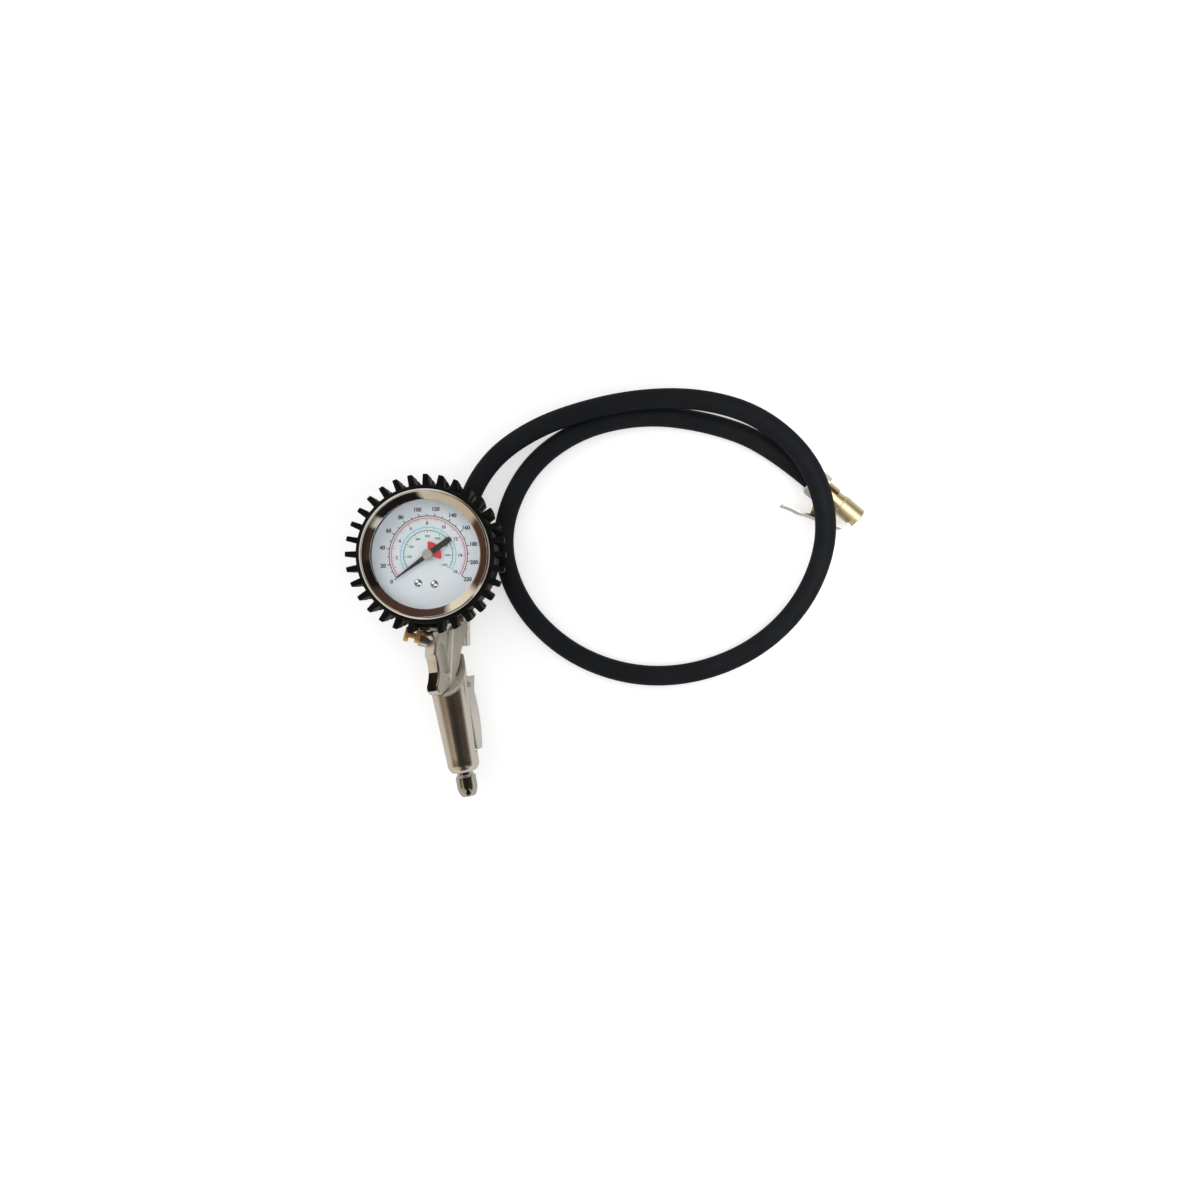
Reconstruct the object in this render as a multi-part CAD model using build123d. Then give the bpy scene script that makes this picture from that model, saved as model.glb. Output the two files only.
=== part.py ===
from build123d import *
import math
import os

# Tyre inflator gun, lying on a table: dial gauge face up, grip towards -Y, hose laid out towards +X.
# Millimetres. +Z up, table at z = 0, origin midway along the gun and gauge.

# ---- Driving dimensions: gauge ----
CASE_BOTTOM_Y = 12.1     # lowest point of the gauge case
BOOT_BACK_Z = 16.0      # back of the rubber boot above the table
BOOT_FLOOR = 2.5
BOOT_WALL = 2.4
RIB_COUNT = 32
RIB_WIDTH = 2.6
RIB_REACH = 5.5         # how far a rib stands out at the boot's front edge
RIB_TAPER = 2.6         # how much less it stands out at the back
RIB_GROOVE = 2.6        # groove round the boot that splits each rib
STEM_RIB = 24           # left out for the skirt round the stem
HEAD_RIBS = (25, 26)    # only their front half, clear of the gun's head
SKIRT_R = 8.6           # rubber skirt round the gauge stem
SKIRT_DROP = 2.2
CASE_R = 31.0
CASE_DEPTH = 23.5
CASE_WALL = 1.2
GASKET_THICK = 1.2
LENS_INSET = 0.6        # lens smaller than the case
LENS_THICK = 2.0
BEZEL_OVERHANG = 2.0    # bezel wider than the case
BEZEL_LIP = 2.4         # metal over the lens at the outer rim
WINDOW_INSET = 3.3
DIAL_INSET = 1.8
DIAL_THICK = 0.8
DIAL_DROP = 7.6         # dial face below the lens
DIAL_TURN = -4.0        # degrees
DIAL_SCREW_R = 1.5
DIAL_SCREW_X = 4.2
DIAL_SCREW_Y = -14.8

# Pointer
POINTER_LENGTH = 20.0
POINTER_TAIL = 13.0
POINTER_TAIL_W = 2.6
POINTER_THICK = 0.5
POINTER_ZERO = 216.3    # degrees, anticlockwise from +X
POINTER_RISE = 1.4      # pointer above the dial face
FAN_R = 7.3
FAN_HALF_ANGLE = 45.0
HUB_R = 2.7
HUB_HEIGHT = 1.3

# Movement
GEAR_MODULE = 0.5
PINION_TEETH = 8
SECTOR_TEETH = 64       # of the full circle
SECTOR_SWING = 31.0     # degrees for the whole scale
GEAR_THICK = 1.2
GEAR_DROP = 3.4         # gears below the link
TOOTH_FILL = 0.38       # tooth width over pitch at the pitch circle
SECTOR_HEADING = 134.0  # from the sector's pivot towards the arbor
TAIL_R = 6.0
TAIL_HEADING = -61.5
LINK_PIN_R = 0.5
LINK_PLAY = 0.3
LINK_DROP = 3.0         # link below the front plate
LINK_THICK = 0.8
LINK_LENGTH = 13.6
LINK_HEADING = 57.0
ARBOR_R = 0.7
PIVOT_R = 1.0
PLATE_THICK = 1.0
BACK_PLATE_RISE = 1.9   # above the floor of the case
FRONT_PLATE_DROP = 2.2  # below the dial face
PILLAR_R = 1.8
TUBE_INSET = 7.0        # centre line of the Bourdon tube inside the case's wall line
TUBE_GAP = 0.4          # to the back plate and to the link
TUBE_DEPTH = 2.4
TUBE_END = -15.0        # heading of the tube's free end
TUBE_START = 243.0
SOCKET_HALF_W = 9.0
SOCKET_IN = 5.0         # reach inside and outside the tube's centre line
SOCKET_OUT = 3.0
SOCKET_LOW = 4.4        # below the stem's axis
HAIRSPRING_R = 2.2
HAIRSPRING_STEP = 1.0
HAIRSPRING_TURNS = 3

# Gauge stem
STEM_Z = 29.0
STEM_R = 4.86           # 1/8 inch pipe thread, as a plain cylinder
STEM_LENGTH = 6.6       # reach below the washer
STEM_BORE = 1.5
WASHER_THICK = 0.8
WASHER_R = 6.3
WASHER_BEZEL_GAP = 1.7  # washer to the back of the bezel

# ---- Driving dimensions: gun, in its own frame (x to the front, y up the grip, z to the side) ----
GUN_X = 9.5
GUN_Y = -28.0
LEAN = 10.0             # degrees, grip leaning towards +X
TILT = 53.13            # degrees, front of the gun turned down to the table
GRIP_TOP_R = 10.0
GRIP_LOW_R = 8.3
GRIP_END_R = 6.4
GRIP_UP = 22.0
GRIP_DOWN = 43.0
HEAD_HALF_W = 4.5
HEAD_TOP = 31.5
HEAD_FRONT_TOP = 35.0
HEAD_SLOPE_X = 4.0
HEAD_CORNER_R = 2.0
HEAD_EDGE_R = 1.4
PAD_RISE = 0.8
RECESS_DEPTH = 1.5
RECESS_LENGTH = 16.0
RECESS_WIDTH = 4.2
RECESS_X = -5.0
RECESS_Y = 17.6
PORT_R = 6.4
PORT_TOP_GAP = 0.3      # gauge port to washer
PORT_DEPTH = 7.5
PORT_LOW_Y = 4.0
NECK_R = 4.4
OUTLET_X = 10.0
OUTLET_R = 7.4
OUTLET_LOW_Y = -5.0
OUTLET_TOP_Y = 12.0
ARM_TOP_Y = 3.2
ARM_WIDTH = 9.0
ARM_TOP_Z = 17.0
OUTLET_THREAD_R = 4.9
OUTLET_THREAD_DEPTH = 9.0
INLET_THREAD_R = 4.86
INLET_DEPTH = 9.0
LOWER_BORE_R = 1.9
UPPER_BORE_R = 1.2
UPPER_BORE_TOP = 26.6
AIRWAY_R = 1.5

# Lever
LEVER_HALF_W = 7.0
LEVER_WALL = 1.3
LEVER_TOP = 5.5
LEVER_LOW = -33.0
LEVER_TOP_FRONT = 12.3
LEVER_NECK_FRONT = 10.2
LEVER_MID_FRONT = 10.9
LEVER_LOW_FRONT = 8.8
LEVER_BACK = 5.2
LEVER_PIVOT_X = 6.9
LEVER_PIVOT_Y = 1.5
LEVER_PIN_R = 1.5
LEVER_PIN_PLAY = 0.05
LEVER_LUG_R = 2.6
LEVER_SIDE_GAP = 0.35
LEVER_END_GAP = 0.8

# Valve
VALVE_Y = -20.0
VALVE_STEM_R = 1.25
VALVE_SLIDE_PLAY = 0.05
VALVE_HEAD_R = 3.1
VALVE_HEAD_THICK = 1.6
VALVE_CHAMBER_R = 3.9
VALVE_CHAMBER_BACK = -6.4
SPRING_POCKET_R = 2.6
SPRING_POCKET_BACK = -8.0
SPRING_WALL = 0.6
VALVE_SEAT_BACK = -2.0
VALVE_SEAT_THICK = 1.8
VALVE_SEAT_HOLE_R = 1.9
GLAND_BACK = 2.6
GLAND_RING_THICK = 1.2
GLAND_FRONT = 7.0
STEM_TO_LEVER = 0.25

# Bleed valve
BLEED_X = -1.0
BLEED_Y = -1.2
BLEED_Z = 26.0
BLEED_HEADING = 164.0
BLEED_RISE = 14.0
BLEED_BOSS_R = 4.4
BLEED_BOSS_REACH = 5.4
BLEED_BUSH_R = 3.4
BLEED_BUSH_THICK = 2.4
BLEED_THREAD_R = 2.5
BLEED_THREAD_DEPTH = 2.8
BLEED_HOLE_DEPTH = 6.8
BLEED_NECK_R = 1.6
BLEED_NECK_SHOW = 3.4
BLEED_FLANGE_R = 3.9
BLEED_FLANGE_THICK = 2.4
BLEED_PLAY = 0.06
BLEED_SEAL_THICK = 1.2

# Inlet plug
PLUG_NECK_R = 4.2
PLUG_NECK_LENGTH = 1.6
PLUG_BEAD_R = 5.35
PLUG_BAND = 4.6
PLUG_TIP_R = 3.6
PLUG_TAPER = 5.6
PLUG_BORE_R = 2.6

# ---- Driving dimensions: hose and its ends ----
HOSE_R = 5.5
HOSE_BORE_R = 3.0
BARB_R = 2.9
BARB_REACH = 12.0
FERRULE_R = 7.4
FERRULE_LENGTH = 13.0
FERRULE_GAP = 0.05
NUT_LENGTH = 8.4
NUT_FLATS = 14.0
NUT_CHAMFER = 1.8
NECK_LENGTH = 12.2
CHUCK_NECK_R = 4.9
BARREL_LENGTH = 12.8
BARREL_R = 5.6
VALVE_BORE_R = 4.2      # takes a tyre valve's thread
VALVE_BORE_DEPTH = 9.0
CHUCK_SEAL_THICK = 2.0
CHUCK_SEAL_R = 4.6
CHUCK_SEAL_SINK = 0.2    # below the end of the valve bore
CHUCK_SEAL_HOLE_R = 1.9
DEPRESSOR_R = 1.1
DEPRESSOR_REACH = 1.8
CHUCK_AIRWAY_R = 1.6
BRACKET_SHEET = 0.8
BRACKET_START = -24.6
BRACKET_LENGTH = 7.0
EAR_R = 2.5
CLIP_PIVOT_X = -19.0
CLIP_PIVOT_Y = -12.4
BRACKET_PLAY = 0.05
CLIP_PIN_R = 1.0
CLIP_PIN_PLAY = 0.05
CLIP_SHEET = 0.9
CLIP_HALF_H = 4.6
CLIP_CHEEK_R = 2.4
CLIP_THUMB = (-36.6, -21.4)
CLIP_BEND = (-27.0, -18.4)
CLIP_KNUCKLE = (-22.5, -16.2)
CLIP_JAW = (-4.0, -10.2)
CLIP_TOOTH = (-1.8, -6.0)
CLIP_SPRING_R = 1.7

# The hose as it lies, from the gun's barb round the loop to the chuck's nut.
HOSE_POINTS = [
    (10.0, 12.0, 7.4),
    (10.0, 33.0, 7.4),
    (11.7, 55.0, 7.6),
    (17.2, 76.8, 8.6),
    (28.0, 94.5, 9.8),
    (43.5, 107.5, 11.0),
    (66.1, 118.6, 12.4),
    (103.7, 128.2, 13.7),
    (141.9, 129.0, 15.4),
    (175.8, 118.2, 18.6),
    (202.1, 91.6, 22.6),
    (210.8, 56.0, 22.4),
    (200.5, 20.3, 13.7),
    (175.9, -6.4, 7.0),
    (140.5, -21.3, 5.7),
    (103.7, -22.0, 5.7),
    (68.8, -8.0, 5.7),
    (42.6, 19.4, 5.7),
    (32.8, 54.6, 5.7),
    (46.0, 90.4, 5.7),
    (74.5, 113.3, 5.7),
    (111.5, 122.1, 5.7),
    (147.8, 117.8, 5.8),
    (180.6, 105.6, 7.0),
    (204.1, 85.8, 7.0),
]

# ---- Values that follow ----
GAUGE_Y = CASE_BOTTOM_Y + CASE_R
BEZEL_R = CASE_R + BEZEL_OVERHANG
LENS_R = CASE_R - LENS_INSET
WINDOW_R = CASE_R - WINDOW_INSET
DIAL_R = CASE_R - DIAL_INSET
TUBE_R = CASE_R - TUBE_INSET
SOCKET_NEAR = TUBE_R - SOCKET_IN
SOCKET_FAR = TUBE_R + SOCKET_OUT
CASE_BACK_Z = BOOT_BACK_Z + BOOT_FLOOR
CASE_FRONT_Z = CASE_BACK_Z + CASE_DEPTH
LENS_Z = CASE_FRONT_Z + GASKET_THICK
LENS_FRONT_Z = LENS_Z + LENS_THICK
BEZEL_FRONT_Z = LENS_FRONT_Z + BEZEL_LIP
BEZEL_BACK_Z = STEM_Z + WASHER_R + WASHER_BEZEL_GAP
BOOT_FRONT_Z = BEZEL_FRONT_Z - 2.0
BOOT_R = BEZEL_R + BOOT_WALL
DIAL_Z = LENS_Z - DIAL_DROP
POINTER_Z = DIAL_Z + POINTER_RISE
FRONT_PLATE_Z = DIAL_Z - FRONT_PLATE_DROP
LINK_Z = FRONT_PLATE_Z - LINK_DROP
GEAR_Z = LINK_Z - GEAR_DROP
BACK_PLATE_Z = CASE_BACK_Z + CASE_WALL + BACK_PLATE_RISE
TUBE_LOW_Z = BACK_PLATE_Z + PLATE_THICK + TUBE_GAP
TUBE_WIDTH = LINK_Z - TUBE_GAP - TUBE_LOW_Z
TUBE_Z = TUBE_LOW_Z + TUBE_WIDTH / 2
GEAR_CENTRES = GEAR_MODULE * (PINION_TEETH + SECTOR_TEETH) / 2
WASHER_Y = CASE_BOTTOM_Y - 0.1
PORT_TOP_Y = WASHER_Y - WASHER_THICK - PORT_TOP_GAP
STEM_END_Y = WASHER_Y - WASHER_THICK - STEM_LENGTH
CHUCK_LENGTH = NUT_LENGTH + NECK_LENGTH + BARREL_LENGTH
BRACKET_HALF_H = CHUCK_NECK_R + BRACKET_PLAY + BRACKET_SHEET
BLEED_THREAD_END = BLEED_BOSS_REACH - BLEED_THREAD_DEPTH
FIT = 0.05              # gap between fixed pieces that nest
CUT_REACH = 100.0       # how far a cut runs on past the part


def polar(radius, degrees):
    angle = math.radians(degrees)
    return (radius * math.cos(angle), radius * math.sin(angle))


def about_gauge(shape):
    return Pos(0, GAUGE_Y, 0) * shape


def spun(points):
    """Turn an outline of (radius, height) about the Z axis."""
    outline = make_face(Polyline(*points, close=True))
    return revolve(Plane.XZ * outline, Axis.Z)


def group_about_gauge(shapes):
    return Compound(children=[about_gauge(shape) for shape in shapes])


def ring(outer, inner, height, z):
    return Pos(0, 0, z + height / 2) * (Cylinder(outer, height) - Cylinder(inner, height * 2))


def along(start, end, radius):
    """A round rod from one point to another."""
    start_point = Vector(*start)
    run = Vector(*end) - start_point
    base = Plane(origin=start_point, z_dir=run.normalized())
    return base * Pos(0, 0, run.length / 2) * Cylinder(radius, run.length)


# The gun's mid-plane passes through the gauge stem where it meets the head.
lean_cos = math.cos(math.radians(LEAN))
lean_sin = math.sin(math.radians(LEAN))
STEM_JOIN_Y = 5.0
join_rise = STEM_JOIN_Y - GUN_Y
GUN_Z = STEM_Z - (GUN_X * lean_cos - join_rise * lean_sin) * math.tan(math.radians(TILT))
GUN = Pos(GUN_X, GUN_Y, GUN_Z) * Rot(0, 0, LEAN) * Rot(0, TILT, 0)
HOSE_END = Vector(*HOSE_POINTS[-1])
last_run = HOSE_END - Vector(*HOSE_POINTS[-2])
CHUCK_HEADING = math.degrees(math.atan2(last_run.Y, last_run.X))
CHUCK = Pos(*HOSE_END) * Rot(0, 0, CHUCK_HEADING) * Pos(CHUCK_LENGTH, 0, 0)
bleed_out = Vector(
    math.cos(math.radians(BLEED_RISE)) * math.cos(math.radians(BLEED_HEADING)),
    math.cos(math.radians(BLEED_RISE)) * math.sin(math.radians(BLEED_HEADING)),
    math.sin(math.radians(BLEED_RISE)),
)
BLEED = Plane(origin=(BLEED_X, BLEED_Y, BLEED_Z), z_dir=bleed_out).location


# ---- Gauge ----
def rubber_boot():
    shell = spun([
        (0, BOOT_BACK_Z), (BOOT_R - 2.0, BOOT_BACK_Z), (BOOT_R - 0.6, BOOT_BACK_Z + 1.6),
        (BOOT_R, BOOT_FRONT_Z - 0.8), (BOOT_R - 0.8, BOOT_FRONT_Z), (0, BOOT_FRONT_Z),
    ])
    front_tip = BOOT_R + RIB_REACH
    back_tip = front_tip - RIB_TAPER
    middle_z = (BOOT_BACK_Z + BOOT_FRONT_Z) / 2
    rib_outline = make_face(Polyline(
        (BOOT_R - 2.4, BOOT_BACK_Z + 2.0), (back_tip - 1.2, BOOT_BACK_Z + 2.0),
        (back_tip, BOOT_BACK_Z + 3.2), (front_tip, BOOT_FRONT_Z - 1.6),
        (front_tip - 0.8, BOOT_FRONT_Z - 0.8), (BOOT_R - 2.4, BOOT_FRONT_Z - 0.8), close=True,
    ))
    rib = extrude(Plane.XZ * rib_outline, RIB_WIDTH / 2, both=True)
    rib -= Pos(0, 0, middle_z) * (Cylinder(front_tip * 2, RIB_GROOVE) - Cylinder(BOOT_R - 0.6, RIB_GROOVE))
    front_block = rib - Pos(0, 0, middle_z - CUT_REACH / 2) * Box(CUT_REACH, CUT_REACH, CUT_REACH)
    ribs = []
    for step in range(RIB_COUNT):
        if step == STEM_RIB:
            continue
        chosen = front_block if step in HEAD_RIBS else rib
        ribs.append(Rot(0, 0, 360 / RIB_COUNT * step) * chosen)
    boot = shell.fuse(*ribs)
    skirt_length = BOOT_R + SKIRT_DROP
    skirt_place = Pos(0, -skirt_length / 2, STEM_Z) * Rot(90, 0, 0)
    boot = boot + skirt_place * Cylinder(SKIRT_R, skirt_length)
    inside = spun([
        (0, CASE_BACK_Z), (CASE_R + FIT, CASE_BACK_Z), (CASE_R + FIT, BEZEL_BACK_Z - FIT),
        (BEZEL_R + FIT, BEZEL_BACK_Z - FIT), (BEZEL_R + FIT, BEZEL_FRONT_Z + 1), (0, BEZEL_FRONT_Z + 1),
    ])
    boot -= inside
    boot -= Pos(0, -skirt_length, STEM_Z) * Rot(90, 0, 0) * Cylinder(PORT_R + 0.2, skirt_length)
    return about_gauge(boot)


def gauge_case():
    cup = Pos(0, 0, CASE_BACK_Z + CASE_DEPTH / 2) * Cylinder(CASE_R, CASE_DEPTH)
    hollow_depth = CASE_DEPTH - CASE_WALL
    cup -= Pos(0, 0, CASE_BACK_Z + CASE_WALL + hollow_depth / 2) * Cylinder(CASE_R - CASE_WALL, hollow_depth)
    cup -= Pos(0, -CASE_R, STEM_Z) * Rot(90, 0, 0) * Cylinder(STEM_R + 0.3, 8)
    return about_gauge(cup)


def bezel_ring():
    profile = spun([
        (CASE_R + FIT, BEZEL_BACK_Z), (BEZEL_R, BEZEL_BACK_Z), (BEZEL_R, BEZEL_FRONT_Z - 0.7),
        (BEZEL_R - 0.4, BEZEL_FRONT_Z - 0.1), (BEZEL_R - 0.8, BEZEL_FRONT_Z),
        (BEZEL_R - 1.2, BEZEL_FRONT_Z - 0.2), (BEZEL_R - 1.5, BEZEL_FRONT_Z - 0.8),
        (WINDOW_R + 0.3, LENS_FRONT_Z + 0.9), (WINDOW_R, LENS_FRONT_Z + 0.6),
        (WINDOW_R, LENS_FRONT_Z), (CASE_R + FIT, LENS_FRONT_Z),
    ])
    return about_gauge(profile)


def lens():
    return about_gauge(Pos(0, 0, LENS_Z + LENS_THICK / 2) * Cylinder(LENS_R, LENS_THICK))


def lens_gasket():
    return about_gauge(ring(CASE_R - 0.1, WINDOW_R + 0.3, GASKET_THICK, CASE_FRONT_Z))


def dial_screw_places():
    places = []
    for side in (-1, 1):
        radius = math.hypot(DIAL_SCREW_X, DIAL_SCREW_Y)
        heading = math.degrees(math.atan2(DIAL_SCREW_Y, side * DIAL_SCREW_X)) + DIAL_TURN
        places.append(polar(radius, heading))
    return places


def dial_plate():
    plate = Pos(0, 0, DIAL_Z - DIAL_THICK / 2) * Cylinder(DIAL_R, DIAL_THICK)
    plate -= Pos(0, 0, DIAL_Z) * Cylinder(ARBOR_R + 0.9, DIAL_THICK * 4)
    for x, y in dial_screw_places():
        plate -= Pos(x, y, DIAL_Z) * Cylinder(DIAL_SCREW_R * 0.5, DIAL_THICK * 4)
    return about_gauge(plate)


def dial_screws():
    screws = []
    depth = DIAL_Z - FRONT_PLATE_Z - PLATE_THICK
    for x, y in dial_screw_places():
        head = Pos(x, y, DIAL_Z + 0.35) * Cylinder(DIAL_SCREW_R, 0.7)
        head -= Pos(x, y, DIAL_Z + 0.7) * Rot(0, 0, 30) * Box(DIAL_SCREW_R * 3, 0.45, 0.6)
        shank = Pos(x, y, DIAL_Z - depth / 2) * Cylinder(DIAL_SCREW_R * 0.5 - FIT, depth)
        screws.append(head + shank)
    return group_about_gauge(screws)


def pointer_blank():
    needle = make_face(Polyline(
        (-HUB_R, -1.0), (POINTER_LENGTH - 0.6, -0.25), (POINTER_LENGTH, 0),
        (POINTER_LENGTH - 0.6, 0.25), (-HUB_R, 1.0), close=True,
    ))
    tail = Pos(-POINTER_TAIL / 2 - 1, 0) * SlotOverall(POINTER_TAIL - 2, POINTER_TAIL_W)
    return needle + tail + Circle(HUB_R * 0.8)


def pointer():
    blank = extrude(pointer_blank() - Circle(ARBOR_R + 0.02), POINTER_THICK)
    return about_gauge(Pos(0, 0, POINTER_Z) * Rot(0, 0, POINTER_ZERO) * blank)


def pointer_fan():
    start = polar(FAN_R, 180 - FAN_HALF_ANGLE)
    end = polar(FAN_R, 180 + FAN_HALF_ANGLE)
    edge = Line((0, 0), start) + ThreePointArc(start, (-FAN_R, 0), end) + Line(end, (0, 0))
    fan = make_face(edge) - Circle(ARBOR_R + 0.4)
    plate = extrude(fan, POINTER_THICK * 0.8)
    place = Pos(0, 0, POINTER_Z - POINTER_THICK * 0.8) * Rot(0, 0, POINTER_ZERO)
    return about_gauge(place * plate)


def pointer_cap():
    cap = Pos(0, 0, POINTER_Z + POINTER_THICK + HUB_HEIGHT / 2) * Cylinder(HUB_R, HUB_HEIGHT)
    cap = chamfer(cap.faces().sort_by(Axis.Z)[-1].edges(), 0.4)
    cap -= Pos(0, 0, POINTER_Z + POINTER_THICK) * Cylinder(ARBOR_R + 0.02, HUB_HEIGHT)
    return about_gauge(cap)


# ---- Movement ----
def gear_tooth(pitch_radius, addendum, dedendum):
    """One tooth pointing along +X, narrowing to its tip."""
    pitch_width = math.pi * GEAR_MODULE * 2 * TOOTH_FILL / 2
    root = pitch_radius - dedendum
    tip = pitch_radius + addendum
    return make_face(Polyline(
        (root - 0.4, -pitch_width * 0.62), (root, -pitch_width * 0.62),
        (pitch_radius, -pitch_width / 2), (tip, -pitch_width * 0.2),
        (tip, pitch_width * 0.2), (pitch_radius, pitch_width / 2),
        (root, pitch_width * 0.62), (root - 0.4, pitch_width * 0.62), close=True,
    ))


PINION_R = GEAR_MODULE * PINION_TEETH / 2
SECTOR_R = GEAR_MODULE * SECTOR_TEETH / 2
SECTOR_PIVOT = polar(GEAR_CENTRES, SECTOR_HEADING + 180)
ADDENDUM = GEAR_MODULE * 0.8
DEDENDUM = GEAR_MODULE * 1.2


def pointer_arbor():
    shaft_low = BACK_PLATE_Z + 0.1
    shaft_high = POINTER_Z + POINTER_THICK + HUB_HEIGHT * 0.45
    shaft = Pos(0, 0, (shaft_low + shaft_high) / 2) * Cylinder(ARBOR_R, shaft_high - shaft_low)
    blank = Circle(PINION_R - DEDENDUM)
    half_pitch = 180 / PINION_TEETH
    for step in range(PINION_TEETH):
        turn = SECTOR_HEADING + 180 + half_pitch + step * 2 * half_pitch
        blank += Rot(0, 0, turn) * gear_tooth(PINION_R, ADDENDUM, DEDENDUM)
    pinion = Pos(0, 0, GEAR_Z - 0.3) * extrude(blank, GEAR_THICK + 0.6)
    return about_gauge(shaft + pinion)


def sector_gear():
    pitch = 360 / SECTOR_TEETH
    spare = 2
    first = -math.ceil(SECTOR_SWING / pitch) - spare
    last = spare
    rim_outer = SECTOR_R - DEDENDUM
    rim_inner = rim_outer - 1.8
    low = first * pitch - pitch / 2
    high = last * pitch + pitch / 2
    middle = (low + high) / 2
    edge = (
        Line(polar(rim_inner, low), polar(rim_outer, low))
        + ThreePointArc(polar(rim_outer, low), polar(rim_outer, middle), polar(rim_outer, high))
        + Line(polar(rim_outer, high), polar(rim_inner, high))
        + ThreePointArc(polar(rim_inner, high), polar(rim_inner, middle), polar(rim_inner, low))
    )
    blank = make_face(edge)
    for step in range(first, last + 1):
        blank += Rot(0, 0, step * pitch) * gear_tooth(SECTOR_R, ADDENDUM, DEDENDUM)
    arm = make_face(Polyline(
        polar(2.0, middle + 90), polar(rim_inner + 0.5, middle + 6),
        polar(rim_inner + 0.5, middle - 6), polar(2.0, middle - 90), close=True,
    ))
    tail_heading = TAIL_HEADING - SECTOR_HEADING
    tail = Rot(0, 0, tail_heading) * Pos(TAIL_R / 2, 0) * SlotOverall(TAIL_R + 2.6, 2.2)
    blank = blank + arm + tail + Circle(2.6)
    blank -= Circle(PIVOT_R + 0.04)
    body = Pos(0, 0, GEAR_Z) * extrude(blank, GEAR_THICK)
    pin_x, pin_y = polar(TAIL_R, tail_heading)
    pin_top = LINK_Z + LINK_THICK + 0.4
    body += Pos(pin_x, pin_y, (GEAR_Z + pin_top) / 2) * Cylinder(LINK_PIN_R, pin_top - GEAR_Z)
    place = Pos(SECTOR_PIVOT[0], SECTOR_PIVOT[1], 0) * Rot(0, 0, SECTOR_HEADING)
    return about_gauge(place * body)


def sector_pivot_pin():
    height = FRONT_PLATE_Z - BACK_PLATE_Z - PLATE_THICK
    pin = Pos(*SECTOR_PIVOT, BACK_PLATE_Z + PLATE_THICK + height / 2) * Cylinder(PIVOT_R, height)
    collar = Pos(*SECTOR_PIVOT, GEAR_Z - 0.6) * Cylinder(PIVOT_R + 0.8, 1.0)
    return about_gauge(pin + collar)


def movement_link():
    pin_x, pin_y = polar(TAIL_R, TAIL_HEADING)
    bar = Rot(0, 0, LINK_HEADING) * Pos(LINK_LENGTH / 2, 0) * SlotOverall(LINK_LENGTH + 2.6, 2.6)
    bar -= Circle(LINK_PIN_R + LINK_PLAY)
    bar -= Pos(*polar(LINK_LENGTH, LINK_HEADING)) * Circle(LINK_PIN_R + 0.1)
    place = Pos(SECTOR_PIVOT[0] + pin_x, SECTOR_PIVOT[1] + pin_y, LINK_Z)
    return about_gauge(place * extrude(bar, LINK_THICK))


def plate_outline():
    outline = Pos(TUBE_R / 12, -TUBE_R / 4) * RectangleRounded(TUBE_R * 1.25, TUBE_R * 1.125, TUBE_R / 8)
    outline -= Circle(ARBOR_R + 0.05)
    outline -= Pos(*SECTOR_PIVOT) * Circle(PIVOT_R * 0.6)
    return outline


# Places of the pillars, as shares of the tube's radius.
PILLAR_SPOTS = [(-0.41667, -0.6875), (-0.41667, 0.1875), (0.58333, 0.23333)]


def movement_back_plate():
    return about_gauge(Pos(0, 0, BACK_PLATE_Z) * extrude(plate_outline(), PLATE_THICK))


def movement_front_plate():
    outline = plate_outline()
    for x, y in dial_screw_places():
        outline -= Pos(x, y) * Circle(DIAL_SCREW_R * 0.5)
    return about_gauge(Pos(0, 0, FRONT_PLATE_Z) * extrude(outline, PLATE_THICK))


def movement_pillars():
    height = FRONT_PLATE_Z - BACK_PLATE_Z - PLATE_THICK
    middle = BACK_PLATE_Z + PLATE_THICK + height / 2
    posts = [Pos(x * TUBE_R, y * TUBE_R, middle) * Cylinder(PILLAR_R, height) for x, y in PILLAR_SPOTS]
    return group_about_gauge(posts)


def bourdon_section():
    outline = Pos(TUBE_R, TUBE_Z) * SlotOverall(TUBE_WIDTH, TUBE_DEPTH, rotation=90)
    return Plane.XZ * outline


def bourdon_tube():
    sweep_angle = TUBE_START - TUBE_END
    tube = Rot(0, 0, TUBE_END) * revolve(bourdon_section(), Axis.Z, sweep_angle)
    return about_gauge(tube)


def tube_tip():
    block = Pos(TUBE_R, 0, TUBE_Z) * Box(4.4, 3.0, TUBE_WIDTH + 1.0)
    block = Rot(0, 0, TUBE_END - 4.0) * block
    tip = Pos(0, GAUGE_Y, 0) * block
    tip -= Pos(0, GAUGE_Y, LINK_Z + 3.0) * Cylinder(CASE_R, 6.8)
    return tip - bourdon_tube()


def gauge_socket():
    width = SOCKET_HALF_W * 2
    depth = SOCKET_FAR - SOCKET_NEAR
    low = STEM_Z - SOCKET_LOW
    middle = Pos(0, -(SOCKET_NEAR + SOCKET_FAR) / 2, (low + FRONT_PLATE_Z) / 2)
    block = middle * Box(width, depth, FRONT_PLATE_Z - low)
    stem_top = GAUGE_Y - SOCKET_FAR + 0.5
    block = Pos(0, GAUGE_Y, 0) * block + along((0, stem_top, STEM_Z), (0, STEM_END_Y, STEM_Z), STEM_R)
    block -= along((0, stem_top + 3, STEM_Z), (0, STEM_END_Y - 1, STEM_Z), STEM_BORE)
    return block - bourdon_tube()


def stem_washer():
    place = Pos(0, WASHER_Y - WASHER_THICK / 2, STEM_Z) * Rot(90, 0, 0)
    return place * (Cylinder(WASHER_R, WASHER_THICK) - Cylinder(STEM_R + FIT, WASHER_THICK * 2))


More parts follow.
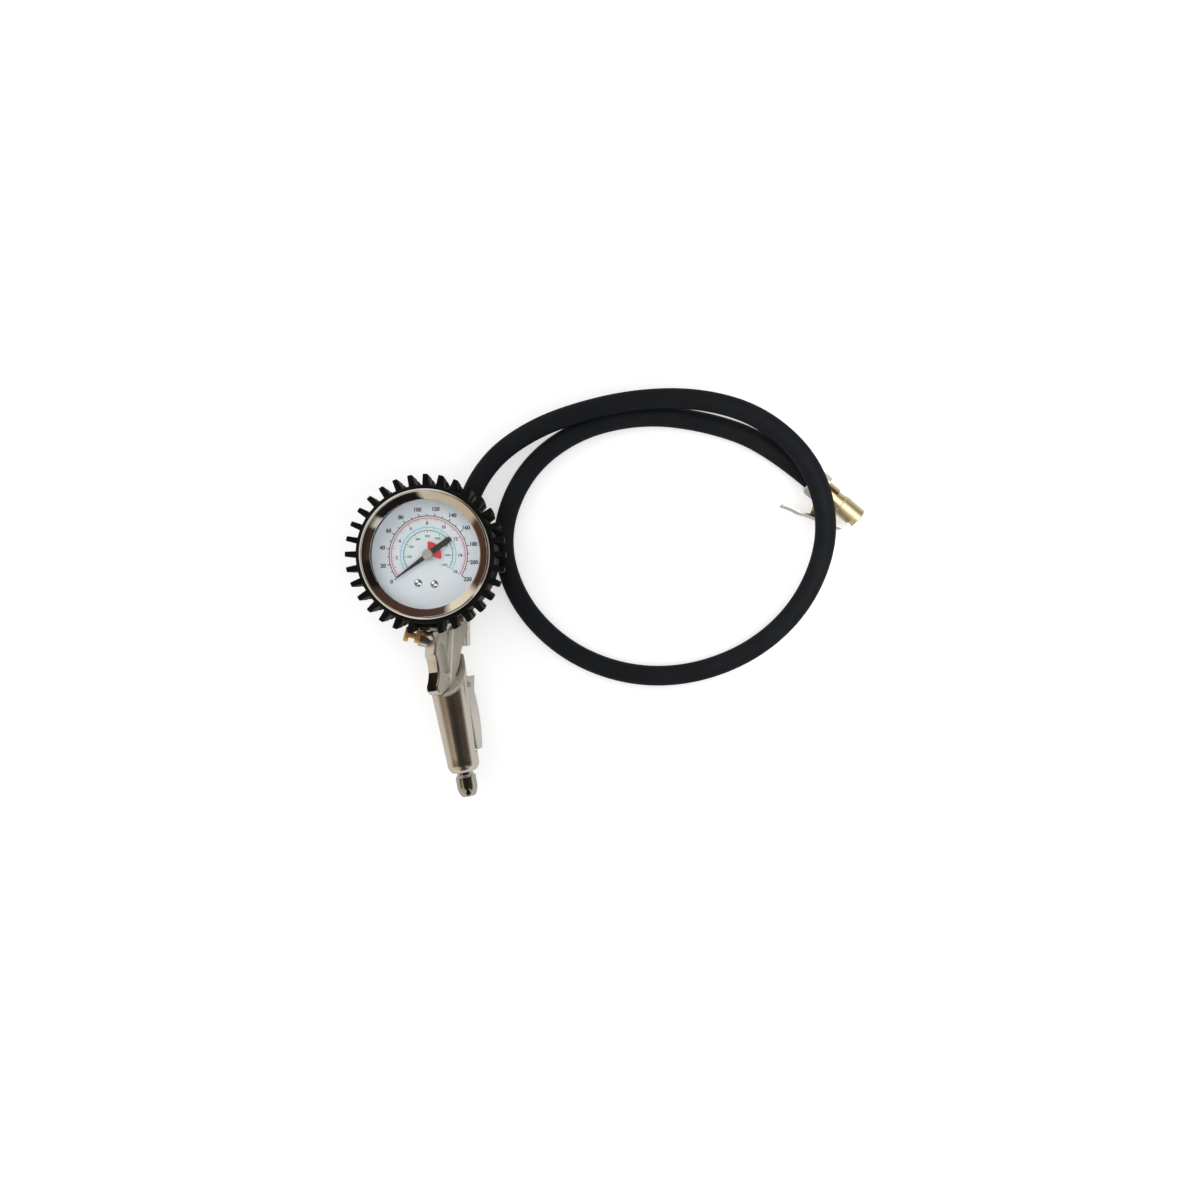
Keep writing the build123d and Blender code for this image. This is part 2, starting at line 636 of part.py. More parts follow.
def hairspring():
    """A flat spiral of half turns about the arbor, drawn on alternating centres."""
    path = None
    radius = HAIRSPRING_R
    for half in range(HAIRSPRING_TURNS * 2):
        centre = (half % 2) * HAIRSPRING_STEP / 2
        side = 1 if half % 2 == 0 else -1
        start = (centre + side * radius, 0)
        end = (centre - side * radius, 0)
        arc = ThreePointArc(start, (centre, side * radius), end)
        path = arc if path is None else path + arc
        radius += HAIRSPRING_STEP / 2
    section = Plane(origin=path @ 0, z_dir=path % 0) * Rectangle(0.3, 0.8)
    return about_gauge(Pos(0, 0, LINK_Z + 1.6) * sweep(section, path))


# ---- Gun body ----
def head_outline():
    edge = (
        ThreePointArc((1.0, 37.0), (-6.6, 29.5), (-10.2, 20.5))
        + ThreePointArc((-10.2, 20.5), (-9.6, 12.5), (-12.2, 5.2))
        + ThreePointArc((-12.2, 5.2), (-12.4, 1.6), (-9.6, -0.6))
        + ThreePointArc((-9.6, -0.6), (0.2, 5.0), (8.2, 18.0))
        + ThreePointArc((8.2, 18.0), (12.0, 24.5), (16.4, 30.0))
        + Line((16.4, 30.0), (16.8, 37.0))
        + Line((16.8, 37.0), (1.0, 37.0))
    )
    return make_face(edge)


def pad_outline():
    edge = (
        Line((1.4, HEAD_TOP), (HEAD_SLOPE_X, HEAD_TOP))
        + Line((HEAD_SLOPE_X, HEAD_TOP), (HEAD_SLOPE_X * 2, HEAD_FRONT_TOP))
        + Line((HEAD_SLOPE_X * 2, HEAD_FRONT_TOP), (15.6, HEAD_FRONT_TOP))
        + Line((15.6, HEAD_FRONT_TOP), (15.2, 30.4))
        + ThreePointArc((15.2, 30.4), (10.8, 25.0), (7.0, 18.6))
        + ThreePointArc((7.0, 18.6), (3.6, 11.6), (-2.2, 6.0))
        + ThreePointArc((-2.2, 6.0), (-3.2, 16.0), (-0.6, 25.0))
        + Line((-0.6, 25.0), (1.4, HEAD_TOP))
    )
    return make_face(edge)


def grip_tube():
    edge = (
        Line((0, GRIP_UP + 3), (GRIP_TOP_R - 3, GRIP_UP + 3))
        + ThreePointArc((GRIP_TOP_R - 3, GRIP_UP + 3), (GRIP_TOP_R - 0.9, GRIP_UP + 2.1), (GRIP_TOP_R, GRIP_UP))
        + Line((GRIP_TOP_R, GRIP_UP), (GRIP_TOP_R, 0))
        + Line((GRIP_TOP_R, 0), (GRIP_LOW_R, -GRIP_DOWN + 5))
        + ThreePointArc(
            (GRIP_LOW_R, -GRIP_DOWN + 5), (GRIP_LOW_R - 0.6, -GRIP_DOWN + 1.6), (GRIP_END_R, -GRIP_DOWN),
        )
        + Line((GRIP_END_R, -GRIP_DOWN), (0, -GRIP_DOWN))
        + Line((0, -GRIP_DOWN), (0, GRIP_UP + 3))
    )
    return revolve(make_face(edge), Axis.Y)


def shoulder_cut():
    """Clears the round grip away beside the flat head, along the head's lower edge."""
    edge = (
        Line((-CUT_REACH, -0.6), (-9.6, -0.6))
        + ThreePointArc((-9.6, -0.6), (0.2, 5.0), (8.2, 18.0))
        + Line((8.2, 18.0), (CUT_REACH, 18.0))
        + Line((CUT_REACH, 18.0), (CUT_REACH, CUT_REACH))
        + Line((CUT_REACH, CUT_REACH), (-CUT_REACH, CUT_REACH))
        + Line((-CUT_REACH, CUT_REACH), (-CUT_REACH, -0.6))
    )
    return extrude(make_face(edge), GRIP_TOP_R * 2, both=True)


def gun_body():
    outline = head_outline()
    outline = fillet(outline.vertices(), HEAD_CORNER_R)
    plate = extrude(outline, HEAD_HALF_W, both=True)
    plate = fillet(plate.edges().filter_by(Axis.Z, reverse=True), HEAD_EDGE_R)
    top = make_face(Polyline(
        (-CUT_REACH, HEAD_TOP), (HEAD_SLOPE_X, HEAD_TOP), (HEAD_SLOPE_X * 2, HEAD_FRONT_TOP),
        (CUT_REACH, HEAD_FRONT_TOP), (CUT_REACH, CUT_REACH), (-CUT_REACH, CUT_REACH), close=True,
    ))
    plate -= extrude(top, HEAD_HALF_W * 2, both=True)
    pad = extrude(pad_outline(), HEAD_HALF_W + PAD_RISE, both=True)
    body = (grip_tube() - shoulder_cut()) + plate + pad

    # Finger-shaped recess on each side of the head.
    recess = Pos(RECESS_X, RECESS_Y) * SlotOverall(RECESS_LENGTH, RECESS_WIDTH, rotation=93)
    for side in (-1, 1):
        body -= Pos(0, 0, side * HEAD_HALF_W) * extrude(recess, RECESS_DEPTH, both=True)

    # The front of the grip is cut back to a web that the lever straddles.
    web_half = LEVER_HALF_W - LEVER_WALL - LEVER_SIDE_GAP
    window_top = LEVER_TOP + LEVER_END_GAP
    window_low = LEVER_LOW - LEVER_END_GAP
    window = make_face(Polyline(
        (3.4, window_top), (CUT_REACH, window_top), (CUT_REACH, window_low), (2.2, window_low), close=True,
    ))
    window = extrude(window, GRIP_TOP_R * 2, both=True)
    web_outline = make_face(Polyline(
        (-4, window_top + 1), (6.6, window_top + 1), (6.9, -12), (6.6, -22), (4.0, window_low - 1),
        (-4, window_low - 1), close=True,
    ))
    lug = Pos(LEVER_PIVOT_X, LEVER_PIVOT_Y) * Circle(LEVER_LUG_R)
    lug += Pos(LEVER_PIVOT_X - 3, LEVER_PIVOT_Y) * Rectangle(6, LEVER_LUG_R * 2)
    web = extrude(web_outline + lug, web_half, both=True)
    body = (body - window) + web
    body -= Pos(LEVER_PIVOT_X, LEVER_PIVOT_Y, 0) * Cylinder(LEVER_PIN_R, GRIP_TOP_R * 4)

    # Valve chamber across the grip, and the airways up and down from it.
    chamber_front = 8.0
    body -= along((VALVE_CHAMBER_BACK, VALVE_Y, 0), (chamber_front, VALVE_Y, 0), VALVE_CHAMBER_R)
    body -= along((SPRING_POCKET_BACK, VALVE_Y, 0), (VALVE_CHAMBER_BACK + 1, VALVE_Y, 0), SPRING_POCKET_R)
    body -= along((0, -GRIP_DOWN - 1, 0), (0, -GRIP_DOWN + INLET_DEPTH, 0), INLET_THREAD_R)
    lower_x = VALVE_SEAT_BACK - LOWER_BORE_R - 0.2
    body -= along((lower_x, -GRIP_DOWN + INLET_DEPTH - 1, 0), (lower_x, VALVE_Y, 0), LOWER_BORE_R)
    upper_x = (VALVE_SEAT_BACK + VALVE_SEAT_THICK + GLAND_BACK) / 2
    body -= along((upper_x, VALVE_Y, 0), (upper_x, UPPER_BORE_TOP, 0), UPPER_BORE_R)
    body = GUN * body

    # Port for the gauge, its neck, the hose outlet and the bleed boss.
    port = along((0, PORT_LOW_Y, STEM_Z), (0, PORT_TOP_Y, STEM_Z), PORT_R)
    neck_end = (GUN * Pos(upper_x + 0.4, UPPER_BORE_TOP - 2.6, 0)).position
    neck = along((0, PORT_LOW_Y, STEM_Z), tuple(neck_end), NECK_R)
    outlet = along((OUTLET_X, OUTLET_LOW_Y, OUTLET_R), (OUTLET_X, OUTLET_TOP_Y, OUTLET_R), OUTLET_R)
    arm_height = ARM_TOP_Z - OUTLET_R
    arm = Pos(OUTLET_X, (OUTLET_LOW_Y + ARM_TOP_Y) / 2, OUTLET_R + arm_height / 2)
    arm = arm * Box(ARM_WIDTH, ARM_TOP_Y - OUTLET_LOW_Y, arm_height)
    boss = BLEED * Pos(0, 0, BLEED_BOSS_REACH / 2 - 2) * Cylinder(BLEED_BOSS_R, BLEED_BOSS_REACH + 4)
    body = body + port + neck + outlet + arm + boss

    body -= along((0, PORT_TOP_Y + 1, STEM_Z), (0, PORT_TOP_Y - PORT_DEPTH, STEM_Z), STEM_R)
    body -= along((0, PORT_TOP_Y - PORT_DEPTH + 1, STEM_Z), tuple(neck_end), AIRWAY_R)
    thread_end = OUTLET_TOP_Y - OUTLET_THREAD_DEPTH
    outlet_end = (OUTLET_X, thread_end, OUTLET_R)
    body -= along((OUTLET_X, OUTLET_TOP_Y + 1, OUTLET_R), outlet_end, OUTLET_THREAD_R)
    body -= along((OUTLET_X, thread_end + 1, OUTLET_R), tuple(neck_end), AIRWAY_R)
    body -= BLEED * Pos(0, 0, BLEED_BOSS_REACH) * Cylinder(BLEED_THREAD_R, BLEED_HOLE_DEPTH * 2)
    bleed_bottom = (BLEED * Pos(0, 0, BLEED_BOSS_REACH - BLEED_HOLE_DEPTH + 0.5)).position
    body -= along(tuple(bleed_bottom), tuple(neck_end), 1.0)
    return body


# ---- Lever and valve ----
def lever_outline(front_inset, back):
    return make_face(
        Line((back, LEVER_TOP), (LEVER_TOP_FRONT - front_inset, LEVER_TOP))
        + Line((LEVER_TOP_FRONT - front_inset, LEVER_TOP), (LEVER_NECK_FRONT - front_inset, -2.5))
        + ThreePointArc(
            (LEVER_NECK_FRONT - front_inset, -2.5), (LEVER_MID_FRONT - front_inset, -18.0),
            (LEVER_LOW_FRONT - front_inset, LEVER_LOW),
        )
        + Line((LEVER_LOW_FRONT - front_inset, LEVER_LOW), (back, LEVER_LOW))
        + Line((back, LEVER_LOW), (back, LEVER_TOP))
    )


def trigger_lever():
    shell = extrude(lever_outline(0, LEVER_BACK), LEVER_HALF_W, both=True)
    inside = extrude(lever_outline(LEVER_WALL, LEVER_BACK - 4), LEVER_HALF_W - LEVER_WALL, both=True)
    lever = shell - inside
    lever -= Pos(LEVER_PIVOT_X, LEVER_PIVOT_Y, 0) * Cylinder(LEVER_PIN_R + LEVER_PIN_PLAY, LEVER_HALF_W * 4)
    return GUN * lever


def trigger_pin():
    length = LEVER_HALF_W * 2 + 0.4
    return GUN * Pos(LEVER_PIVOT_X, LEVER_PIVOT_Y, 0) * Cylinder(LEVER_PIN_R, length)


def lever_inner_front(y):
    """Where the inside of the lever's front wall is at a height, near its middle."""
    share = (y + 18.0) / (LEVER_LOW + 18.0)
    sag = (LEVER_MID_FRONT - LEVER_LOW_FRONT) * max(share, 0) ** 2
    return LEVER_MID_FRONT - sag - LEVER_WALL


def valve_stem():
    tip = lever_inner_front(VALVE_Y) - STEM_TO_LEVER
    head_front = VALVE_SEAT_BACK - 0.8
    stem = along((head_front - 0.5, VALVE_Y, 0), (tip, VALVE_Y, 0), VALVE_STEM_R)
    stem += along((head_front - VALVE_HEAD_THICK, VALVE_Y, 0), (head_front, VALVE_Y, 0), VALVE_HEAD_R)
    stem = chamfer(stem.faces().sort_by(Axis.X)[-1].edges(), 0.5)
    return GUN * stem


def valve_face():
    """Rubber face on the valve head that closes on the seat."""
    back = VALVE_SEAT_BACK - 0.8
    face = along((back, VALVE_Y, 0), (VALVE_SEAT_BACK - 0.02, VALVE_Y, 0), VALVE_HEAD_R)
    return GUN * (face - along((back - 1, VALVE_Y, 0), (2, VALVE_Y, 0), VALVE_STEM_R))


def valve_seat():
    front = VALVE_SEAT_BACK + VALVE_SEAT_THICK
    seat = along((VALVE_SEAT_BACK, VALVE_Y, 0), (front, VALVE_Y, 0), VALVE_CHAMBER_R - 0.02)
    return GUN * (seat - along((VALVE_SEAT_BACK - 1, VALVE_Y, 0), (front + 1, VALVE_Y, 0), VALVE_SEAT_HOLE_R))


def valve_gland():
    ring_end = GLAND_BACK + GLAND_RING_THICK
    gland = along((ring_end, VALVE_Y, 0), (GLAND_FRONT, VALVE_Y, 0), VALVE_CHAMBER_R - 0.02)
    hole = along((GLAND_BACK - 1, VALVE_Y, 0), (GLAND_FRONT + 1, VALVE_Y, 0), VALVE_STEM_R + VALVE_SLIDE_PLAY)
    return GUN * (gland - hole)


def gland_seal():
    ring_end = GLAND_BACK + GLAND_RING_THICK
    seal = along((GLAND_BACK, VALVE_Y, 0), (ring_end, VALVE_Y, 0), VALVE_CHAMBER_R - 0.05)
    hole = along((GLAND_BACK - 1, VALVE_Y, 0), (ring_end + 1, VALVE_Y, 0), VALVE_STEM_R + VALVE_SLIDE_PLAY)
    return GUN * (seal - hole)


def valve_spring():
    front = VALVE_SEAT_BACK - 0.8 - VALVE_HEAD_THICK
    outer = SPRING_POCKET_R - 0.2
    sleeve = along((SPRING_POCKET_BACK, VALVE_Y, 0), (front, VALVE_Y, 0), outer)
    return GUN * (sleeve - along((SPRING_POCKET_BACK - 1, VALVE_Y, 0), (front + 1, VALVE_Y, 0), outer - SPRING_WALL))


# ---- Bleed valve ----
def bleed_bush():
    flange = ring(BLEED_BUSH_R, BLEED_NECK_R + BLEED_PLAY, BLEED_BUSH_THICK, BLEED_BOSS_REACH)
    thread = ring(
        BLEED_THREAD_R - 0.03, BLEED_NECK_R + BLEED_PLAY, BLEED_THREAD_DEPTH, BLEED_THREAD_END,
    )
    return BLEED * (flange + thread)


BLEED_NECK_START = BLEED_BOSS_REACH + BLEED_BUSH_THICK
BLEED_SEAL_Z = BLEED_THREAD_END - BLEED_SEAL_THICK - 0.02


def bleed_button():
    low = BLEED_SEAL_Z - 0.5
    high = BLEED_NECK_START + BLEED_NECK_SHOW
    shaft = Pos(0, 0, (low + high) / 2) * Cylinder(BLEED_NECK_R, high - low)
    shaft -= Pos(0, 0, low) * (Cylinder(BLEED_NECK_R * 2, (BLEED_SEAL_THICK + 0.5) * 2) - Cylinder(0.8, 9))
    flange = Pos(0, 0, high + BLEED_FLANGE_THICK / 2) * Cylinder(BLEED_FLANGE_R, BLEED_FLANGE_THICK)
    flange = fillet(flange.faces().sort_by(Axis.Z)[-1].edges(), 0.6)
    return BLEED * (shaft + flange)


def bleed_seal():
    return BLEED * ring(2.2, 0.82, BLEED_SEAL_THICK, BLEED_SEAL_Z)


# ---- Inlet plug ----
def inlet_plug():
    start = -GRIP_DOWN
    edge_points = [
        (PLUG_BORE_R, start + INLET_DEPTH - 1.0), (INLET_THREAD_R - 0.03, start + INLET_DEPTH - 1.0),
        (INLET_THREAD_R - 0.03, start), (PLUG_NECK_R, start), (PLUG_NECK_R, start - PLUG_NECK_LENGTH),
        (PLUG_BEAD_R, start - PLUG_NECK_LENGTH - 1.4),
        (PLUG_BEAD_R, start - PLUG_NECK_LENGTH - 1.4 - PLUG_BAND),
    ]
    tip_y = start - PLUG_NECK_LENGTH - 1.4 - PLUG_BAND - PLUG_TAPER
    band_end = edge_points[-1]
    edge = Polyline(*edge_points)
    edge += ThreePointArc(band_end, (PLUG_BEAD_R - 0.6, tip_y + PLUG_TAPER * 0.38), (PLUG_TIP_R, tip_y))
    edge += Line((PLUG_TIP_R, tip_y), (PLUG_BORE_R, tip_y))
    edge += Line((PLUG_BORE_R, tip_y), edge_points[0])
    return GUN * revolve(make_face(edge), Axis.Y)


# ---- Hose ----
def hose_path():
    points = [Vector(*point) for point in HOSE_POINTS]
    radii = []
    for before, corner, after in zip(points, points[1:], points[2:]):
        turn = (corner - before).get_angle(after - corner)
        shorter = min((corner - before).length, (after - corner).length)
        radii.append(0.45 * shorter / math.tan(math.radians(turn / 2)))
    print("hose arc radii", [round(radius, 1) for radius in radii])
    return FilletPolyline(*points, radius=radii)


def hose():
    path = hose_path()
    start = Plane(origin=path @ 0, z_dir=path % 0)
    tube = sweep(start * Circle(HOSE_R), path) - sweep(start * Circle(HOSE_BORE_R), path)
    expected = math.pi * (HOSE_R ** 2 - HOSE_BORE_R ** 2) * path.length
    print("hose length", round(path.length, 1), "volume over section x length", round(tube.volume / expected, 5))
    return tube


def hose_barb():
    y = OUTLET_TOP_Y
    x = OUTLET_X
    z = OUTLET_R
    barb = along((x, y - OUTLET_THREAD_DEPTH + 1.5, z), (x, y - FIT, z), OUTLET_THREAD_R - 0.03)
    for step in range(3):
        start_y = y + 2.0 + step * 3.2
        cone_place = Plane(origin=(x, start_y, z), z_dir=(0, 1, 0))
        barb += cone_place * Pos(0, 0, 1.4) * Cone(BARB_R, BARB_R - 0.6, 2.8)
    barb += along((x, y - FIT, z), (x, y + BARB_REACH, z), BARB_R - 0.6)
    return barb - along((x, y - OUTLET_THREAD_DEPTH, z), (x, y + BARB_REACH + 1, z), AIRWAY_R)


def hose_ferrule():
    start = (OUTLET_X, OUTLET_TOP_Y + 0.3, OUTLET_R)
    end = (OUTLET_X, OUTLET_TOP_Y + 0.3 + FERRULE_LENGTH, OUTLET_R)
    sleeve = along(start, end, FERRULE_R)
    return sleeve - along((OUTLET_X, OUTLET_TOP_Y - 5, OUTLET_R), (OUTLET_X, OUTLET_TOP_Y + CUT_REACH, OUTLET_R), HOSE_R + FERRULE_GAP)


# ---- Chuck, in its own frame: x towards the mouth, mouth at x = 0 ----
NUT_START = -CHUCK_LENGTH
NUT_END = NUT_START + NUT_LENGTH
SEAL_POCKET_BACK = -VALVE_BORE_DEPTH - CHUCK_SEAL_SINK - CHUCK_SEAL_THICK


def rod_x(start, end, radius):
    return along((start, 0, 0), (end, 0, 0), radius)


def chuck_nut():
    hexagon = RegularPolygon(NUT_FLATS / 2, 6, major_radius=False, rotation=30)
    nut = Plane(origin=(NUT_START, 0, 0), z_dir=(1, 0, 0)) * extrude(hexagon, NUT_LENGTH)
    turned = rod_x(NUT_START, NUT_END, NUT_FLATS / math.sqrt(3) + 0.1)
    turned = chamfer(turned.faces().sort_by(Axis.X)[0].edges(), NUT_CHAMFER)
    nut = nut & turned
    return CHUCK * (nut - rod_x(NUT_START - 1, NUT_END + 1, CHUCK_NECK_R - 1.0))


def chuck_body():
    body = rod_x(NUT_END + FIT, NUT_END + NECK_LENGTH, CHUCK_NECK_R)
    body += rod_x(-BARREL_LENGTH - 1.2, -BARREL_LENGTH + 1.2, CHUCK_NECK_R + 0.3)
    barrel = rod_x(-BARREL_LENGTH, 0, BARREL_R)
    barrel = chamfer(barrel.faces().sort_by(Axis.X)[-1].edges(), 0.4)
    barrel = chamfer(barrel.faces().sort_by(Axis.X)[0].edges(), 0.5)
    body += barrel
    body += rod_x(NUT_START - 9.0, NUT_END + 1.0, CHUCK_NECK_R - 1.0 - FIT) - rod_x(
        NUT_START - 10, NUT_START, 9) + rod_x(NUT_START - 9.0, NUT_START + 1, BARB_R)
    body -= rod_x(-VALVE_BORE_DEPTH, 1, VALVE_BORE_R)
    body -= rod_x(SEAL_POCKET_BACK, -VALVE_BORE_DEPTH, CHUCK_SEAL_R)
    body -= rod_x(NUT_START - 10, 0, CHUCK_AIRWAY_R)
    tooth_slot = Pos(CLIP_TOOTH[0], -BARREL_R, 0) * Box(2.6, 3.4, CLIP_HALF_H * 2 + 0.8)
    return CHUCK * (body - tooth_slot)


def chuck_seal():
    front = SEAL_POCKET_BACK + CHUCK_SEAL_THICK
    seal = rod_x(SEAL_POCKET_BACK, front, CHUCK_SEAL_R - 0.02)
    return CHUCK * (seal - rod_x(SEAL_POCKET_BACK - 1, front + 1, CHUCK_SEAL_HOLE_R))


def depressor_pin():
    low = SEAL_POCKET_BACK - 3.0
    pin = rod_x(low, SEAL_POCKET_BACK + DEPRESSOR_REACH, DEPRESSOR_R)
    pin += rod_x(low, low + 1.6, CHUCK_AIRWAY_R - 0.02)
    return CHUCK * (pin - Pos(low, 0, 0) * Box(8, 0.6, 4))


def clip_bracket():
    """Sheet saddle bent round the chuck's neck, with two ears for the clip's pin."""
    middle = BRACKET_START + BRACKET_LENGTH / 2
    inner = CHUCK_NECK_R + BRACKET_PLAY
    strap = rod_x(BRACKET_START, BRACKET_START + BRACKET_LENGTH, BRACKET_HALF_H)
    strap += Pos(middle, CLIP_PIVOT_Y / 2, 0) * Box(BRACKET_LENGTH, -CLIP_PIVOT_Y, BRACKET_HALF_H * 2)
    strap -= rod_x(BRACKET_START - 1, BRACKET_START + BRACKET_LENGTH + 1, inner)
    strap -= Pos(middle, CLIP_PIVOT_Y, 0) * Box(BRACKET_LENGTH * 2, -CLIP_PIVOT_Y * 2, inner * 2)
    side = make_face(Polyline(
        (BRACKET_START, BRACKET_HALF_H * 2), (BRACKET_START, -4.0), (CLIP_PIVOT_X - EAR_R, CLIP_PIVOT_Y),
        (CLIP_PIVOT_X + EAR_R, CLIP_PIVOT_Y), (BRACKET_START + BRACKET_LENGTH, -4.0),
        (BRACKET_START + BRACKET_LENGTH, BRACKET_HALF_H * 2), close=True,
    ))
    strap = strap & extrude(side, BRACKET_HALF_H * 2, both=True)
    ears = Pos(CLIP_PIVOT_X, CLIP_PIVOT_Y, 0) * (
        Cylinder(EAR_R, BRACKET_HALF_H * 2) - Cylinder(EAR_R * 2, inner * 2))
    return CHUCK * (strap + ears - Pos(CLIP_PIVOT_X, CLIP_PIVOT_Y, 0) * Cylinder(CLIP_PIN_R, BRACKET_HALF_H * 4))


def clip_centre_line():
    return (
        ThreePointArc(CLIP_THUMB, (-32.2, -19.6), CLIP_BEND)
        + Line(CLIP_BEND, CLIP_KNUCKLE)
        + Line(CLIP_KNUCKLE, CLIP_JAW)
        + Line(CLIP_JAW, CLIP_TOOTH)
    )


def clip_lever():
    strip = extrude(trace(clip_centre_line(), CLIP_SHEET), CLIP_HALF_H, both=True)
    cheek = make_face(Polyline(
        (CLIP_KNUCKLE[0] + 0.4, CLIP_KNUCKLE[1]), (CLIP_PIVOT_X - 2.0, CLIP_PIVOT_Y + 1.6),
        (CLIP_PIVOT_X + 2.0, CLIP_PIVOT_Y + 1.6), (CLIP_PIVOT_X + 5.4, CLIP_PIVOT_Y - 0.2), close=True,
    )) + Pos(CLIP_PIVOT_X, CLIP_PIVOT_Y) * Circle(CLIP_CHEEK_R)
    for side in (-1, 1):
        level = side * (CLIP_HALF_H - 0.4)
        strip += Pos(0, 0, level - 0.4) * extrude(cheek, 0.8)
    strip -= Pos(CLIP_PIVOT_X, CLIP_PIVOT_Y, 0) * Cylinder(CLIP_PIN_R + CLIP_PIN_PLAY, CLIP_HALF_H * 4)
    return CHUCK * strip


def clip_pin():
    return CHUCK * Pos(CLIP_PIVOT_X, CLIP_PIVOT_Y, 0) * Cylinder(CLIP_PIN_R, BRACKET_HALF_H * 2)


def clip_spring():
    height = CLIP_HALF_H * 2 - 2.2
    coil = Cylinder(CLIP_SPRING_R, height) - Cylinder(CLIP_PIN_R + 0.15, height * 2)
    return CHUCK * Pos(CLIP_PIVOT_X, CLIP_PIVOT_Y, 0) * coil


SUB_PARTS = [
    rubber_boot, gauge_case, bezel_ring, lens, lens_gasket, dial_plate, dial_screws,
    pointer, pointer_fan, pointer_cap, pointer_arbor, sector_gear, sector_pivot_pin, movement_link,
    movement_back_plate, movement_front_plate, movement_pillars, hairspring,
    bourdon_tube, tube_tip, gauge_socket, stem_washer,
    gun_body, trigger_lever, trigger_pin, valve_stem, valve_face, valve_seat, valve_gland, gland_seal,
    valve_spring, bleed_bush, bleed_button, bleed_seal, inlet_plug,
    hose, hose_barb, hose_ferrule,
    chuck_nut, chuck_body, chuck_seal, depressor_pin, clip_bracket, clip_lever, clip_pin, clip_spring,
]

os.makedirs("parts", exist_ok=True)
for make in SUB_PARTS:
    export_step(make(), "parts/" + make.__name__ + ".step")
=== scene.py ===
import math

import bmesh
import bpy
from mathutils import Matrix, Vector


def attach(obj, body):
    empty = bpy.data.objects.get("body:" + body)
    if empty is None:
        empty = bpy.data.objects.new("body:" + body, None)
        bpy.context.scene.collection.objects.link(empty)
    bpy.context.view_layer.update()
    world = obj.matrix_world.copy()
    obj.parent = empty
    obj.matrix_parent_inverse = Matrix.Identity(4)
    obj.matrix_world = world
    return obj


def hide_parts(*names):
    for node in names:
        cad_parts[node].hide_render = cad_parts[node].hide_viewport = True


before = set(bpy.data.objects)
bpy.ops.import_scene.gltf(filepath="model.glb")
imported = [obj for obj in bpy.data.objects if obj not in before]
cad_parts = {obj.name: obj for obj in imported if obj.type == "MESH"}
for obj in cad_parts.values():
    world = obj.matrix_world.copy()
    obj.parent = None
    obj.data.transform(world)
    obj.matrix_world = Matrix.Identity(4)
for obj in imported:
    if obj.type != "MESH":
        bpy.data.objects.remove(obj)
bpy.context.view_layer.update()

MM = 0.001
TURN = 2 * math.pi

# ---- Places of the gauge and the gun, in millimetres ----
GAUGE = Matrix.Translation((0, 43.1, 0))
GUN = (
    Matrix.Translation((9.5, -28.0, 24.1663))
    @ Matrix.Rotation(math.radians(10), 4, "Z")
    @ Matrix.Rotation(math.radians(53.13), 4, "Y")
)
STRAIGHT = Matrix()


# ---- Camera ----
def make_camera():
    camera_data = bpy.data.cameras.new("camera")
    camera_data.sensor_width = 36
    camera_data.lens = 27.0
    camera_data.clip_start = 0.01
    camera = bpy.data.objects.new("camera", camera_data)
    camera.location = (0.0885, 0.0199, 0.5)
    bpy.context.scene.collection.objects.link(camera)
    bpy.context.scene.camera = camera


make_camera()


# ---- Shader node groups ----
def new_group(name, inputs, outputs):
    group = bpy.data.node_groups.new(name, "ShaderNodeTree")
    for label, kind, value in inputs:
        socket = group.interface.new_socket(label, in_out="INPUT", socket_type=kind)
        if value is not None:
            socket.default_value = value
    for label, kind in outputs:
        group.interface.new_socket(label, in_out="OUTPUT", socket_type=kind)
    entry = group.nodes.new("NodeGroupInput")
    leave = group.nodes.new("NodeGroupOutput")
    return group, entry, leave


def noise_in(group, entry, scale_name, detail, rough):
    noise = group.nodes.new("ShaderNodeTexNoise")
    noise.inputs["Detail"].default_value = detail
    noise.inputs["Roughness"].default_value = rough
    group.links.new(entry.outputs["Vector"], noise.inputs["Vector"])
    group.links.new(entry.outputs[scale_name], noise.inputs["Scale"])
    return noise


def make_tone_group():
    """Two colours that drift into each other over the surface."""
    group, entry, leave = new_group(
        "drifting_tone",
        [
            ("Vector", "NodeSocketVector", None),
            ("Colour", "NodeSocketColor", (0.5, 0.5, 0.5, 1)),
            ("Shade", "NodeSocketColor", (0.4, 0.4, 0.4, 1)),
            ("Scale", "NodeSocketFloat", 60.0),
            ("Sharpness", "NodeSocketFloat", 1.0),
        ],
        [("Colour", "NodeSocketColor")],
    )
    noise = noise_in(group, entry, "Scale", 5, 0.6)
    away = group.nodes.new("ShaderNodeMath")
    away.operation = "MULTIPLY_ADD"
    away.use_clamp = True
    half = group.nodes.new("ShaderNodeMath")
    half.operation = "SUBTRACT"
    half.inputs[1].default_value = 0.5
    away.inputs[2].default_value = 0.5
    mix = group.nodes.new("ShaderNodeMix")
    mix.data_type = "RGBA"
    group.links.new(noise.outputs["Fac"], half.inputs[0])
    group.links.new(half.outputs[0], away.inputs[0])
    group.links.new(entry.outputs["Sharpness"], away.inputs[1])
    group.links.new(away.outputs[0], mix.inputs["Factor"])
    group.links.new(entry.outputs["Colour"], mix.inputs["A"])
    group.links.new(entry.outputs["Shade"], mix.inputs["B"])
    group.links.new(mix.outputs["Result"], leave.inputs["Colour"])
    return group


